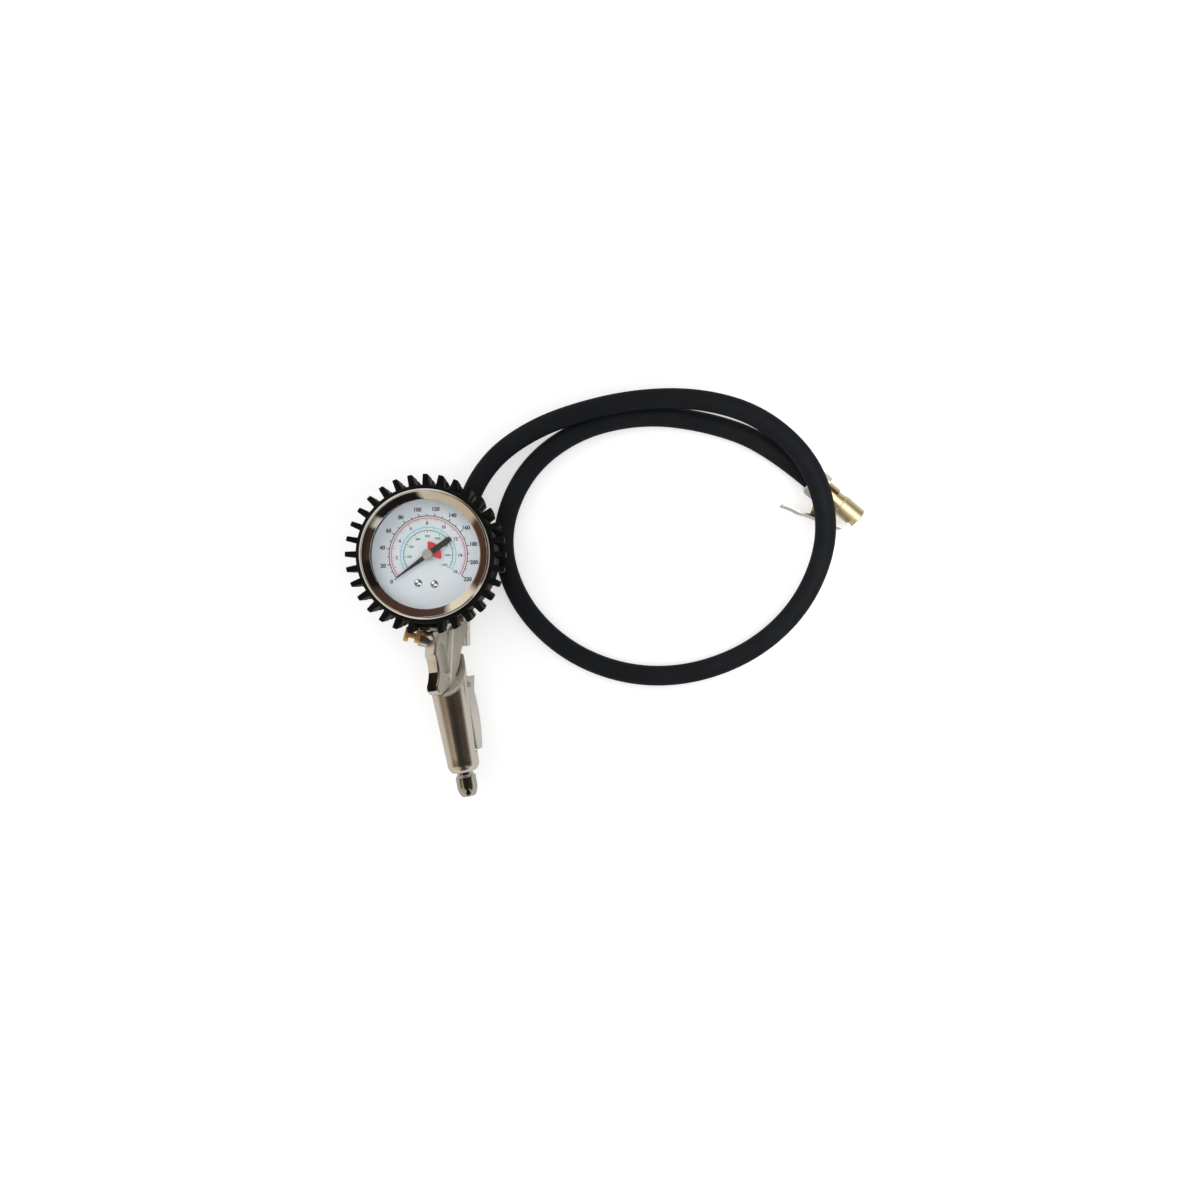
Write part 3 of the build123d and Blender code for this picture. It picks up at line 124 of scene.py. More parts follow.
def make_gloss_group():
    """Roughness between a handled, rubbed value and a dull one."""
    group, entry, leave = new_group(
        "rubbed_gloss",
        [
            ("Vector", "NodeSocketVector", None),
            ("Low", "NodeSocketFloat", 0.2),
            ("High", "NodeSocketFloat", 0.4),
            ("Scale", "NodeSocketFloat", 90.0),
        ],
        [("Roughness", "NodeSocketFloat")],
    )
    noise = noise_in(group, entry, "Scale", 4, 0.55)
    spread = group.nodes.new("ShaderNodeMapRange")
    spread.inputs["From Min"].default_value = 0.3
    spread.inputs["From Max"].default_value = 0.7
    group.links.new(noise.outputs["Fac"], spread.inputs["Value"])
    group.links.new(entry.outputs["Low"], spread.inputs["To Min"])
    group.links.new(entry.outputs["High"], spread.inputs["To Max"])
    group.links.new(spread.outputs["Result"], leave.inputs["Roughness"])
    return group


def make_grain_group():
    """Height of a fine moulded or cast skin, with a few larger flow marks."""
    group, entry, leave = new_group(
        "skin_grain",
        [
            ("Vector", "NodeSocketVector", None),
            ("Scale", "NodeSocketFloat", 900.0),
            ("Flow Scale", "NodeSocketFloat", 120.0),
            ("Flow", "NodeSocketFloat", 0.3),
        ],
        [("Height", "NodeSocketFloat")],
    )
    fine = noise_in(group, entry, "Scale", 3, 0.6)
    flow = noise_in(group, entry, "Flow Scale", 2, 0.5)
    add = group.nodes.new("ShaderNodeMath")
    add.operation = "MULTIPLY_ADD"
    group.links.new(flow.outputs["Fac"], add.inputs[0])
    group.links.new(entry.outputs["Flow"], add.inputs[1])
    group.links.new(fine.outputs["Fac"], add.inputs[2])
    group.links.new(add.outputs[0], leave.inputs["Height"])
    return group


# The gun's head, in millimetres of its own frame.
HEAD_EDGE = (0.0592, 1.128, 4.47)       # its lower edge: height over x, as a parabola
HEAD_EDGE_END = 8.2                     # from this x on the edge runs level
EDGE_FADE = (-1.4, -0.3)                # height over the edge at which the satin sets in
RECESS_BACK = (-8.0, -7.8)
RECESS_FRONT = (-2.0, -2.2)
RECESS_FLOOR = (2.75, 2.85)
FLAT_SIDE = (4.1, 4.35)                 # distance from the middle plane
# The stripe along the ridge on each flat side, painted near white as a highlight.
RIDGE_SLOPE = -0.3
RIDGE_BACK = (-5.9, -5.4)
RIDGE_FRONT = (-4.5, -5.0)
RIDGE_FADE = (3.0, 6.0)


def make_head_mask_group():
    """Marks the two flat sides of the gun's head with their recesses, and a stripe along the ridge on each
    that gets a painted highlight.
    """
    group, entry, leave = new_group(
        "head_side_mask", [("Vector", "NodeSocketVector", None)],
        [("Mask", "NodeSocketFloat"), ("Edge", "NodeSocketFloat")],
    )
    split = group.nodes.new("ShaderNodeSeparateXYZ")
    group.links.new(entry.outputs["Vector"], split.inputs["Vector"])

    def math_node(operation, first, second, third=None):
        node = group.nodes.new("ShaderNodeMath")
        node.operation = operation
        for socket, value in zip(node.inputs, (first, second, third)):
            if isinstance(value, float):
                socket.default_value = value
            elif value is not None:
                group.links.new(value, socket)
        return node.outputs[0]

    def step_up(value, span):
        start, end = span
        node = group.nodes.new("ShaderNodeMapRange")
        node.inputs["From Min"].default_value = start
        node.inputs["From Max"].default_value = end
        group.links.new(value, node.inputs["Value"])
        return node.outputs["Result"]

    x, y, z = split.outputs["X"], split.outputs["Y"], split.outputs["Z"]
    across = math_node("ABSOLUTE", z, None)
    bend, slope, start = HEAD_EDGE
    inner = math_node("MINIMUM", x, HEAD_EDGE_END)
    rise = math_node("MULTIPLY_ADD", inner, bend, slope)
    above = math_node("SUBTRACT", y, math_node("MULTIPLY_ADD", rise, inner, start))
    recess = math_node("MULTIPLY", step_up(x, RECESS_BACK), step_up(x, RECESS_FRONT))
    recess = math_node("MULTIPLY", recess, step_up(across, RECESS_FLOOR))
    side = math_node("MAXIMUM", recess, step_up(across, FLAT_SIDE))
    side = math_node("MULTIPLY", side, step_up(above, EDGE_FADE))
    # Painted highlight: a stripe along the ridge, fading in above the head's edge.
    beside = math_node("MULTIPLY_ADD", y, RIDGE_SLOPE, x)
    ridge = math_node("MULTIPLY", step_up(beside, RIDGE_BACK), step_up(beside, RIDGE_FRONT))
    ridge = math_node("MULTIPLY", ridge, step_up(above, RIDGE_FADE))
    group.links.new(side, leave.inputs["Mask"])
    group.links.new(math_node("MULTIPLY", side, ridge), leave.inputs["Edge"])
    return group


TONE = make_tone_group()
GLOSS = make_gloss_group()
GRAIN = make_grain_group()
HEAD_SIDE = make_head_mask_group()
GLOSS_TO_TONE = 1.7     # the gloss changes over shorter ways than the colour
BUMP_DEPTH = 0.0004


def put_group(material, group, values):
    """Places a shared group in a material with its own values."""
    node = material.node_tree.nodes.new("ShaderNodeGroup")
    node.node_tree = group
    for label, value in values.items():
        node.inputs[label].default_value = value
    return node


def finish_of(
    name, colour, shade, gloss, metallic=0.0, tone=(60.0, 2.0), grain=(900.0, 0.1, 0.3),
    bump=0.05, specular=0.5,
):
    """One of the object's finishes: colour drift, rubbed gloss and a fine skin."""
    material = bpy.data.materials.new(name)
    material.use_nodes = True
    material.diffuse_color = (*colour, 1)
    tree = material.node_tree
    shader = tree.nodes["Principled BSDF"]
    shader.inputs["Metallic"].default_value = metallic
    shader.inputs["Specular IOR Level"].default_value = specular
    place = tree.nodes.new("ShaderNodeTexCoord")
    tone_node = put_group(material, TONE, {
        "Colour": (*colour, 1), "Shade": (*shade, 1), "Scale": tone[0], "Sharpness": tone[1],
    })
    gloss_node = put_group(
        material, GLOSS, {"Low": gloss[0], "High": gloss[1], "Scale": tone[0] * GLOSS_TO_TONE},
    )
    grain_node = put_group(material, GRAIN, {
        "Scale": grain[0], "Flow Scale": grain[1], "Flow": grain[2],
    })
    for node in (tone_node, gloss_node, grain_node):
        tree.links.new(place.outputs["Object"], node.inputs["Vector"])
    bump_node = tree.nodes.new("ShaderNodeBump")
    bump_node.inputs["Strength"].default_value = bump
    bump_node.inputs["Distance"].default_value = BUMP_DEPTH
    tree.links.new(grain_node.outputs["Height"], bump_node.inputs["Height"])
    tree.links.new(tone_node.outputs["Colour"], shader.inputs["Base Color"])
    tree.links.new(gloss_node.outputs["Roughness"], shader.inputs["Roughness"])
    tree.links.new(bump_node.outputs["Normal"], shader.inputs["Normal"])
    return material


SATIN_ROUGH = 0.5
SATIN_METAL = 0.5


def casting_finish():
    """The gun's bright casting, with the flat sides of its head brushed satin and darker, and a painted
    highlight along the ridge on each side.
    """
    material = finish_of(
        "gun_casting", (0.84, 0.81, 0.76), (0.77, 0.74, 0.69), (0.22, 0.30), metallic=1.0,
        tone=(45.0, 1.6), grain=(1400.0, 90.0, 0.15), bump=0.02,
    )
    tree = material.node_tree
    shader = tree.nodes["Principled BSDF"]
    place = tree.nodes.new("ShaderNodeTexCoord")
    mapping = tree.nodes.new("ShaderNodeMapping")
    mapping.vector_type = "TEXTURE"
    mapping.inputs["Location"].default_value = GUN.translation * MM
    mapping.inputs["Rotation"].default_value = GUN.to_euler()
    mapping.inputs["Scale"].default_value = (MM, MM, MM)
    mask = put_group(material, HEAD_SIDE, {})
    tree.links.new(place.outputs["Object"], mapping.inputs["Vector"])
    tree.links.new(mapping.outputs["Vector"], mask.inputs["Vector"])
    satin = put_group(material, TONE, {
        "Colour": (0.66, 0.62, 0.53, 1), "Shade": (0.52, 0.49, 0.42, 1), "Scale": 0.5, "Sharpness": 2.0,
    })
    brushed = tree.nodes.new("ShaderNodeMapping")
    brushed.inputs["Scale"].default_value = (1.0, 0.12, 1.0)
    tree.links.new(mapping.outputs["Vector"], brushed.inputs["Vector"])
    tree.links.new(brushed.outputs["Vector"], satin.inputs["Vector"])
    # Painted highlight: the satin colour goes over into near white along the ridge.
    painted_highlight = tree.nodes.new("ShaderNodeMix")
    painted_highlight.data_type = "RGBA"
    painted_highlight.inputs["B"].default_value = (0.95, 0.93, 0.88, 1)
    tree.links.new(mask.outputs["Edge"], painted_highlight.inputs["Factor"])
    tree.links.new(satin.outputs["Colour"], painted_highlight.inputs["A"])
    colour = tree.nodes.new("ShaderNodeMix")
    colour.data_type = "RGBA"
    rough = tree.nodes.new("ShaderNodeMix")
    rough.inputs["B"].default_value = SATIN_ROUGH
    metal = tree.nodes.new("ShaderNodeMapRange")
    metal.inputs["To Min"].default_value = 1.0
    metal.inputs["To Max"].default_value = SATIN_METAL
    tree.links.new(mask.outputs["Mask"], metal.inputs["Value"])
    tree.links.new(metal.outputs["Result"], shader.inputs["Metallic"])
    tree.links.new(mask.outputs["Mask"], colour.inputs["Factor"])
    tree.links.new(mask.outputs["Mask"], rough.inputs["Factor"])
    tree.links.new(shader.inputs["Base Color"].links[0].from_socket, colour.inputs["A"])
    tree.links.new(painted_highlight.outputs["Result"], colour.inputs["B"])
    tree.links.new(shader.inputs["Roughness"].links[0].from_socket, rough.inputs["A"])
    tree.links.new(colour.outputs["Result"], shader.inputs["Base Color"])
    tree.links.new(rough.outputs["Result"], shader.inputs["Roughness"])
    return material


def glass_finish():
    """Clear glass that lets the lamps' light through to the dial."""
    material = finish_of(
        "clear_glass", (0.98, 0.99, 1.0), (0.96, 0.98, 1.0), (0.0, 0.012), tone=(20.0, 1.0),
        grain=(60.0, 20.0, 0.2), bump=0.004,
    )
    tree = material.node_tree
    shader = tree.nodes["Principled BSDF"]
    shader.inputs["Transmission Weight"].default_value = 1.0
    shader.inputs["IOR"].default_value = 1.45
    light = tree.nodes.new("ShaderNodeLightPath")
    clear = tree.nodes.new("ShaderNodeBsdfTransparent")
    mix = tree.nodes.new("ShaderNodeMixShader")
    output = tree.nodes["Material Output"]
    tree.links.new(light.outputs["Is Shadow Ray"], mix.inputs["Fac"])
    tree.links.new(shader.outputs["BSDF"], mix.inputs[1])
    tree.links.new(clear.outputs["BSDF"], mix.inputs[2])
    tree.links.new(mix.outputs["Shader"], output.inputs["Surface"])
    return material


BLACK_RUBBER = finish_of(
    "boot_rubber", (0.0040, 0.0040, 0.0042), (0.0080, 0.0080, 0.0084), (0.42, 0.58),
    tone=(90.0, 2.5), grain=(1400.0, 160.0, 0.5), bump=0.18, specular=0.12,
)
HOSE_RUBBER = finish_of(
    "hose_rubber", (0.0095, 0.0110, 0.0130), (0.0135, 0.0152, 0.0178), (0.42, 0.56),
    tone=(55.0, 2.0), grain=(1100.0, 110.0, 0.6), bump=0.12, specular=0.05,
)
SEAL_RUBBER = finish_of("seal_rubber", (0.02, 0.02, 0.02), (0.035, 0.034, 0.033), (0.5, 0.7), bump=0.1)
NICKEL = finish_of(
    "nickel_casting", (0.78, 0.75, 0.70), (0.70, 0.67, 0.62), (0.10, 0.22), metallic=1.0,
    tone=(45.0, 1.6), grain=(500.0, 90.0, 0.8), bump=0.05,
)
CASTING = casting_finish()
# Near-black brown for the walls of cuts: painted shade in the window and the screw slots.
HOLLOW_PAINTED_SHADE = finish_of(
    "hollow_painted_shade", (0.030, 0.020, 0.015), (0.055, 0.038, 0.028), (0.45, 0.6), metallic=0.4,
    tone=(160.0, 2.0), grain=(1200.0, 200.0, 0.5), bump=0.1,
)
NICKEL_LEVER = finish_of(
    "nickel_lever", (0.88, 0.865, 0.83), (0.82, 0.80, 0.765), (0.32, 0.44), metallic=0.75,
    tone=(40.0, 1.4), grain=(700.0, 120.0, 0.5), bump=0.04,
)
CHROME = finish_of(
    "chrome", (0.86, 0.85, 0.84), (0.80, 0.79, 0.77), (0.03, 0.09), metallic=1.0,
    tone=(70.0, 1.2), grain=(300.0, 60.0, 0.5), bump=0.012,
)
PLUG_STEEL = finish_of(
    "plug_steel", (0.60, 0.61, 0.60), (0.50, 0.51, 0.50), (0.10, 0.18), metallic=1.0,
    tone=(120.0, 1.5), grain=(900.0, 120.0, 0.4), bump=0.02,
)
BRASS = finish_of(
    "brass", (0.92, 0.78, 0.48), (0.84, 0.68, 0.38), (0.20, 0.30), metallic=1.0,
    tone=(120.0, 1.8), grain=(900.0, 200.0, 0.4), bump=0.03,
)
CHUCK_BRASS = finish_of(
    "chuck_brass", (0.96, 0.86, 0.60), (0.90, 0.77, 0.48), (0.34, 0.42), metallic=0.9,
    tone=(120.0, 1.8), grain=(900.0, 200.0, 0.4), bump=0.03,
)
BUTTON_BRASS = finish_of(
    "button_brass", (0.82, 0.50, 0.20), (0.68, 0.38, 0.14), (0.26, 0.36), metallic=0.7,
    tone=(160.0, 1.8), grain=(900.0, 200.0, 0.4), bump=0.03,
)
STEEL = finish_of(
    "steel", (0.66, 0.65, 0.63), (0.56, 0.55, 0.53), (0.2, 0.38), metallic=1.0,
    tone=(150.0, 1.8), grain=(1200.0, 240.0, 0.4), bump=0.05,
)
CASE_PAINT = finish_of("case_paint", (0.76, 0.78, 0.80), (0.70, 0.72, 0.74), (0.35, 0.5), bump=0.06)
SATIN_STEEL = finish_of(
    "satin_steel", (0.46, 0.44, 0.39), (0.34, 0.32, 0.29), (0.45, 0.6), metallic=0.15,
    tone=(300.0, 1.8), grain=(1500.0, 240.0, 0.4), bump=0.05, specular=0.15,
)
DIAL_WHITE = finish_of(
    "dial_white", (0.84, 0.90, 0.94), (0.81, 0.87, 0.92), (0.45, 0.6), tone=(30.0, 1.0),
    grain=(2500.0, 300.0, 0.2), bump=0.03,
)
INK_BLACK = finish_of("ink_black", (0.012, 0.016, 0.03), (0.03, 0.034, 0.05), (0.5, 0.65), tone=(400.0, 2.0))
INK_GREY = finish_of("ink_grey", (0.06, 0.09, 0.12), (0.10, 0.13, 0.16), (0.5, 0.65), tone=(400.0, 2.0))
INK_RED = finish_of("ink_red", (0.70, 0.09, 0.14), (0.76, 0.16, 0.20), (0.5, 0.65), tone=(400.0, 2.0))
INK_CYAN = finish_of("ink_cyan", (0.30, 0.66, 0.80), (0.40, 0.72, 0.84), (0.5, 0.65), tone=(400.0, 2.0))
INK_GREEN = finish_of("ink_green", (0.04, 0.26, 0.12), (0.10, 0.34, 0.18), (0.5, 0.65), tone=(400.0, 2.0))
POINTER_BLACK = finish_of(
    "pointer_black", (0.003, 0.003, 0.004), (0.006, 0.006, 0.007), (0.6, 0.75), bump=0.02, specular=0.03,
)
FAN_RED = finish_of(
    "fan_red", (0.72, 0.03, 0.03), (0.62, 0.025, 0.025), (0.5, 0.65), bump=0.04, specular=0.1,
)
FIBRE = finish_of("fibre", (0.40, 0.11, 0.06), (0.34, 0.09, 0.05), (0.6, 0.8), bump=0.2)
GLASS = glass_finish()


# ---- Pieces ----
MACHINED_SHARP = math.radians(30)       # edges past this angle stay sharp on machined pieces


def keep_piece(name, mesh, material, body, hides):
    """Hangs a finished mesh on its body and hides the nodes that it replaces."""
    mesh.materials.clear()
    mesh.materials.append(material)
    piece = bpy.data.objects.new(name, mesh)
    bpy.context.scene.collection.objects.link(piece)
    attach(piece, body)
    if hides:
        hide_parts(*hides)
    return piece


def built(name, shape, material, place=STRAIGHT, body="frame", hides=(), sharp=35.0):
    """A piece from a bmesh drawn in millimetres in its own frame."""
    bmesh.ops.transform(shape, matrix=Matrix.Scale(MM, 4) @ place, verts=shape.verts)
    bmesh.ops.recalc_face_normals(shape, faces=shape.faces)
    mesh = bpy.data.meshes.new(name)
    shape.to_mesh(mesh)
    shape.free()
    mesh.shade_smooth()
    mesh.set_sharp_from_angle(angle=math.radians(sharp))
    return keep_piece(name, mesh, material, body, hides)


def dressed(node, material, body="frame"):
    """A smooth-shaded copy of a machined node, its loose triangles joined."""
    shape = bmesh.new()
    shape.from_mesh(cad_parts[node].data)
    bmesh.ops.remove_doubles(shape, verts=shape.verts, dist=1e-6)
    mesh = bpy.data.meshes.new(node + "_dressed")
    shape.to_mesh(mesh)
    shape.free()
    for layer in ("custom_normal", "sharp_face", "sharp_edge"):
        if layer in mesh.attributes:
            mesh.attributes.remove(mesh.attributes[layer])
    mesh.shade_smooth()
    mesh.set_sharp_from_angle(angle=MACHINED_SHARP)
    return keep_piece(node + "_dressed", mesh, material, body, (node,))


def lathe(profile, steps=96, closed=True):
    """Spin a list of (radius, height) points about the Z axis."""
    shape = bmesh.new()
    verts = [shape.verts.new((radius, 0, height)) for radius, height in profile]
    pairs = list(zip(verts, verts[1:]))
    if closed:
        pairs.append((verts[-1], verts[0]))
    edges = [shape.edges.new(pair) for pair in pairs]
    bmesh.ops.spin(
        shape, geom=verts + edges, cent=(0, 0, 0), axis=(0, 0, 1), angle=TURN, steps=steps, use_merge=True,
    )
    bmesh.ops.remove_doubles(shape, verts=shape.verts, dist=1e-4)
    return shape


def join_into(shape, other, place=STRAIGHT):
    """Add a second bmesh to the first at a place."""
    bmesh.ops.transform(other, matrix=place, verts=other.verts)
    mesh = bpy.data.meshes.new("part")
    other.to_mesh(mesh)
    other.free()
    shape.from_mesh(mesh)
    bpy.data.meshes.remove(mesh)


def block(size, centre=(0, 0, 0), bevel=0.0):
    """A box, with rounded edges if a bevel is given."""
    shape = bmesh.new()
    bmesh.ops.create_cube(shape, size=1)
    bmesh.ops.scale(shape, vec=size, verts=shape.verts)
    if bevel:
        bmesh.ops.bevel(
            shape, geom=shape.edges[:], offset=bevel, segments=2, profile=0.5, affect="EDGES", material=-1,
        )
    bmesh.ops.translate(shape, vec=centre, verts=shape.verts)
    return shape


def cut_with(piece, shape, place):
    """Takes a shape out of a piece; the cut's walls are painted near black as shade."""
    bmesh.ops.transform(shape, matrix=Matrix.Scale(MM, 4) @ place, verts=shape.verts)
    mesh = bpy.data.meshes.new("cutter")
    shape.to_mesh(mesh)
    shape.free()
    mesh.materials.append(HOLLOW_PAINTED_SHADE)
    cutter = bpy.data.objects.new("cutter", mesh)
    bpy.context.scene.collection.objects.link(cutter)
    cut = piece.modifiers.new("cut", "BOOLEAN")
    cut.object = cutter
    cut.solver = "EXACT"
    cut.material_mode = "TRANSFER"
    bpy.context.view_layer.update()
    result = bpy.data.meshes.new_from_object(piece.evaluated_get(bpy.context.evaluated_depsgraph_get()))
    piece.modifiers.clear()
    piece.data = result
    bpy.data.objects.remove(cutter)
    result.shade_smooth()
    result.set_sharp_from_angle(angle=MACHINED_SHARP)


# ---- Hose ----
HOSE_POINTS = [
    (10.0, 12.0, 7.4), (10.0, 33.0, 7.4), (11.7, 55.0, 7.6), (17.2, 76.8, 8.6), (28.0, 94.5, 9.8),
    (43.5, 107.5, 11.0), (66.1, 118.6, 12.4), (103.7, 128.2, 13.7), (141.9, 129.0, 15.4),
    (175.8, 118.2, 18.6), (202.1, 91.6, 22.6), (210.8, 56.0, 22.4), (200.5, 20.3, 13.7),
    (175.9, -6.4, 7.0), (140.5, -21.3, 5.7), (103.7, -22.0, 5.7), (68.8, -8.0, 5.7), (42.6, 19.4, 5.7),
    (32.8, 54.6, 5.7), (46.0, 90.4, 5.7), (74.5, 113.3, 5.7), (111.5, 122.1, 5.7), (147.8, 117.8, 5.8),
    (180.6, 105.6, 7.0), (204.1, 85.8, 7.0),
]
HOSE_R = 5.5


def make_hose():
    """The hose as a round curve through its points."""
    curve = bpy.data.curves.new("air_hose", "CURVE")
    curve.dimensions = "3D"
    spline = curve.splines.new("NURBS")
    spline.points.add(len(HOSE_POINTS) - 1)
    for point, place in zip(spline.points, HOSE_POINTS):
        point.co = (place[0] * MM, place[1] * MM, place[2] * MM, 1)
    spline.order_u = 3
    spline.use_endpoint_u = True
    spline.resolution_u = 12
    curve.bevel_depth = HOSE_R * MM
    curve.bevel_resolution = 8
    curve.use_fill_caps = True
    curve.materials.append(HOSE_RUBBER)
    hose = bpy.data.objects.new("air_hose", curve)
    bpy.context.scene.collection.objects.link(hose)
    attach(hose, "frame")
    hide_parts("hose")
    return hose


air_hose = make_hose()


# ---- Rubber boot ----
BOOT_R = 35.4
BOOT_BACK = 16.0
BOOT_FRONT = 45.6
STEM_HEIGHT = 29.0
RIBS = 32
STEM_RIB = 24           # left out over the gauge's stem
HEAD_RIBS = (25, 26)    # only a front block over the gun's head
RIB_SPANS = {           # low and high end of a block, and how far out it stands there
    "back": (18.2, 29.4, 38.4, 39.6),
    "front": (32.2, 44.7, 40.0, 40.8),
}
RIB_ROOT = BOOT_R - 1.6
RIB_HALF_OUTSIDE = 1.3
RIB_HALF_ROOT = 1.6


def boot_rib(rows):
    """One rib: a front block and a back block with the groove between them."""
    shape = bmesh.new()
    for row in rows:
        low, high, low_reach, high_reach = RIB_SPANS[row]
        part = block((2, 2, 2))
        for vert in part.verts:
            top = vert.co.z > 0
            outside = vert.co.x > 0
            reach = high_reach if top else low_reach
            vert.co.x = reach if outside else RIB_ROOT
            vert.co.y = math.copysign(RIB_HALF_OUTSIDE if outside else RIB_HALF_ROOT, vert.co.y)
            vert.co.z = high if top else low
        bmesh.ops.bevel(
            part, geom=part.edges[:], offset=0.42, segments=2, profile=0.5, affect="EDGES", material=-1,
        )
        join_into(shape, part)
    return shape


def make_boot():
    """The boot's shell, its ribs, and the skirt round the gauge's stem."""
    boot = lathe([
        (0, BOOT_BACK), (31.0, BOOT_BACK), (33.2, BOOT_BACK + 0.3), (34.4, BOOT_BACK + 1.2),
        (34.9, BOOT_BACK + 2.6), (35.3, BOOT_FRONT - 2.0), (35.2, BOOT_FRONT - 0.9),
        (34.7, BOOT_FRONT - 0.3), (34.0, BOOT_FRONT), (33.2, BOOT_FRONT - 0.1), (33.06, BOOT_FRONT - 0.5),
        (33.06, 36.96), (31.06, 36.96), (31.06, 18.5), (0, 18.5),
    ], steps=160)
    for step in range(RIBS):
        if step == STEM_RIB:
            continue
        rows = ("front",) if step in HEAD_RIBS else ("back", "front")
        join_into(boot, boot_rib(rows), Matrix.Rotation(TURN * step / RIBS, 4, "Z"))
    skirt = lathe([
        (6.62, 33.0), (8.5, 33.0), (8.6, 36.8), (8.3, 37.4), (7.8, 37.6), (6.9, 37.6), (6.62, 37.3),
    ], steps=64)
    join_into(boot, skirt, Matrix.Translation((0, 0, STEM_HEIGHT)) @ Matrix.Rotation(math.pi / 2, 4, "X"))
    built("ribbed_boot", boot, BLACK_RUBBER, GAUGE, hides=("rubber_boot",), sharp=40)


make_boot()


# ---- Bezel, lens and dial ----
def make_bezel():
    """The turned ring: a flat rim outside, and a band that falls to the lens."""
    ring = lathe([
        (31.06, 37.05), (33.0, 37.05), (33.0, 46.72), (32.14, 47.52), (31.98, 47.6), (31.8, 47.52),
        (31.6, 47.3), (30.3, 46.76), (29.0, 46.18), (28.1, 45.73), (27.78, 45.5), (27.7, 45.25),
        (31.06, 45.25),
    ], steps=160)
    built("bezel", ring, CHROME, GAUGE, hides=("bezel_ring",), sharp=21)


make_bezel()
DIAL_FACE = 35.6
PRINT_CLEAR = 0.004     # print over the dial's face
PRINT_THICK = 0.03
POINTER_ZERO = 216.3    # degrees, heading of the scales' start
SWEEP = 248.0
ARC_STEPS = 96
STROKE = 0.046          # numbers made bolder, as a share of their height


def heading_of(share):
    """Heading in degrees at a share of the scale."""
    return POINTER_ZERO - SWEEP * share


def ring_print(shape, inner, outer, first, last, steps):
    """A printed arc between two headings in degrees, as a thin flat band."""
    start = Matrix.Rotation(math.radians(first), 4, "Z")
    band = bmesh.new()
    verts = [band.verts.new(start @ Vector((radius, 0, 0))) for radius in (inner, outer)]
    edge = band.edges.new(verts)
    bmesh.ops.spin(
        band, geom=verts + [edge], cent=(0, 0, 0), axis=(0, 0, 1), angle=math.radians(last - first),
        steps=steps,
    )
    join_into(shape, band)


def tick_print(shape, inner, outer, width, heading):
    """A printed bar along a radius."""
    bar = bmesh.new()
    bmesh.ops.create_grid(bar, x_segments=1, y_segments=1, size=0.5)
    bmesh.ops.scale(bar, vec=(outer - inner, width, 1), verts=bar.verts)
    bmesh.ops.translate(bar, vec=((inner + outer) / 2, 0, 0), verts=bar.verts)
    join_into(shape, bar, Matrix.Rotation(math.radians(heading), 4, "Z"))


def number_print(shape, words, height, place):
    """A number as a flat mesh, upright, centred on its place."""
    curve = bpy.data.curves.new("number", "FONT")
    curve.body = words
    curve.size = height
    curve.offset = height * STROKE
    curve.align_x = "CENTER"
    curve.align_y = "CENTER"
    curve.resolution_u = 3
    holder = bpy.data.objects.new("number", curve)
    bpy.context.scene.collection.objects.link(holder)
    bpy.context.view_layer.update()
    mesh = bpy.data.meshes.new_from_object(holder)
    mesh.transform(place)
    shape.from_mesh(mesh)
    bpy.data.objects.remove(holder)
    bpy.data.curves.remove(curve)
    bpy.data.meshes.remove(mesh)


def print_on_dial(name, shape, material):
    """Gives a flat print its thickness and lays it on the dial."""
    bmesh.ops.remove_doubles(shape, verts=shape.verts, dist=1e-4)
    solid = bmesh.ops.extrude_face_region(shape, geom=shape.faces[:])
    raised = [item for item in solid["geom"] if isinstance(item, bmesh.types.BMVert)]
    bmesh.ops.translate(shape, vec=(0, 0, PRINT_THICK), verts=raised)
    place = GAUGE @ Matrix.Translation((0, 0, DIAL_FACE + PRINT_CLEAR))
    built(name, shape, material, place, sharp=20)


def numbers_round(shape, values, top, radius, height):
    """Upright numbers round the dial, at a radius."""
    for value in values:
        heading = math.radians(heading_of(value / top))
        place = Matrix.Translation((radius * math.cos(heading), radius * math.sin(heading), 0))
        number_print(shape, str(value), height, place)


def scale_print(arc, start, reach, width, spaces, long_every):
    """A printed arc with its ticks; reach and width are given for a long and for a short tick."""
    shape = bmesh.new()
    ring_print(shape, *arc, heading_of(1), heading_of(0), ARC_STEPS)
    for step in range(spaces + 1):
        short = step % long_every > 0
        inner, outer = sorted((start, start + reach[short]))
        tick_print(shape, inner, outer, width[short], heading_of(step / spaces))
    return shape


def make_dial_print():
    """Four scales, from the rim inwards; ticks of the outer one point out, the others' in."""
    outer = scale_print((19.95, 20.4), 20.4, (1.3, 0.8), (0.44, 0.34), 22, 2)
    numbers_round(outer, range(20, 221, 20), 220, 23.9, 2.75)
    numbers_round(outer, [0], 220, 23.4, 2.75)
    print_on_dial("scale_outer", outer, INK_BLACK)

    red = scale_print((18.9, 19.35), 18.9, (-1.3, -0.8), (0.34, 0.22), 64, 4)
    print_on_dial("scale_red", red, INK_RED)

    middle = bmesh.new()
    numbers_round(middle, range(2, 17, 2), 16, 16.3, 2.3)
    print_on_dial("scale_middle_numbers", middle, INK_GREY)

    cyan = scale_print((13.95, 14.6), 13.95, (-0.65, -0.65), (0.36, 0.36), 16, 1)
    print_on_dial("scale_cyan", cyan, INK_CYAN)

    green = scale_print((12.5, 12.9), 12.5, (-1.2, -0.75), (0.32, 0.22), 32, 4)
    numbers_round(green, range(200, 1601, 200), 1600, 9.7, 1.6)
    print_on_dial("scale_green", green, INK_GREEN)


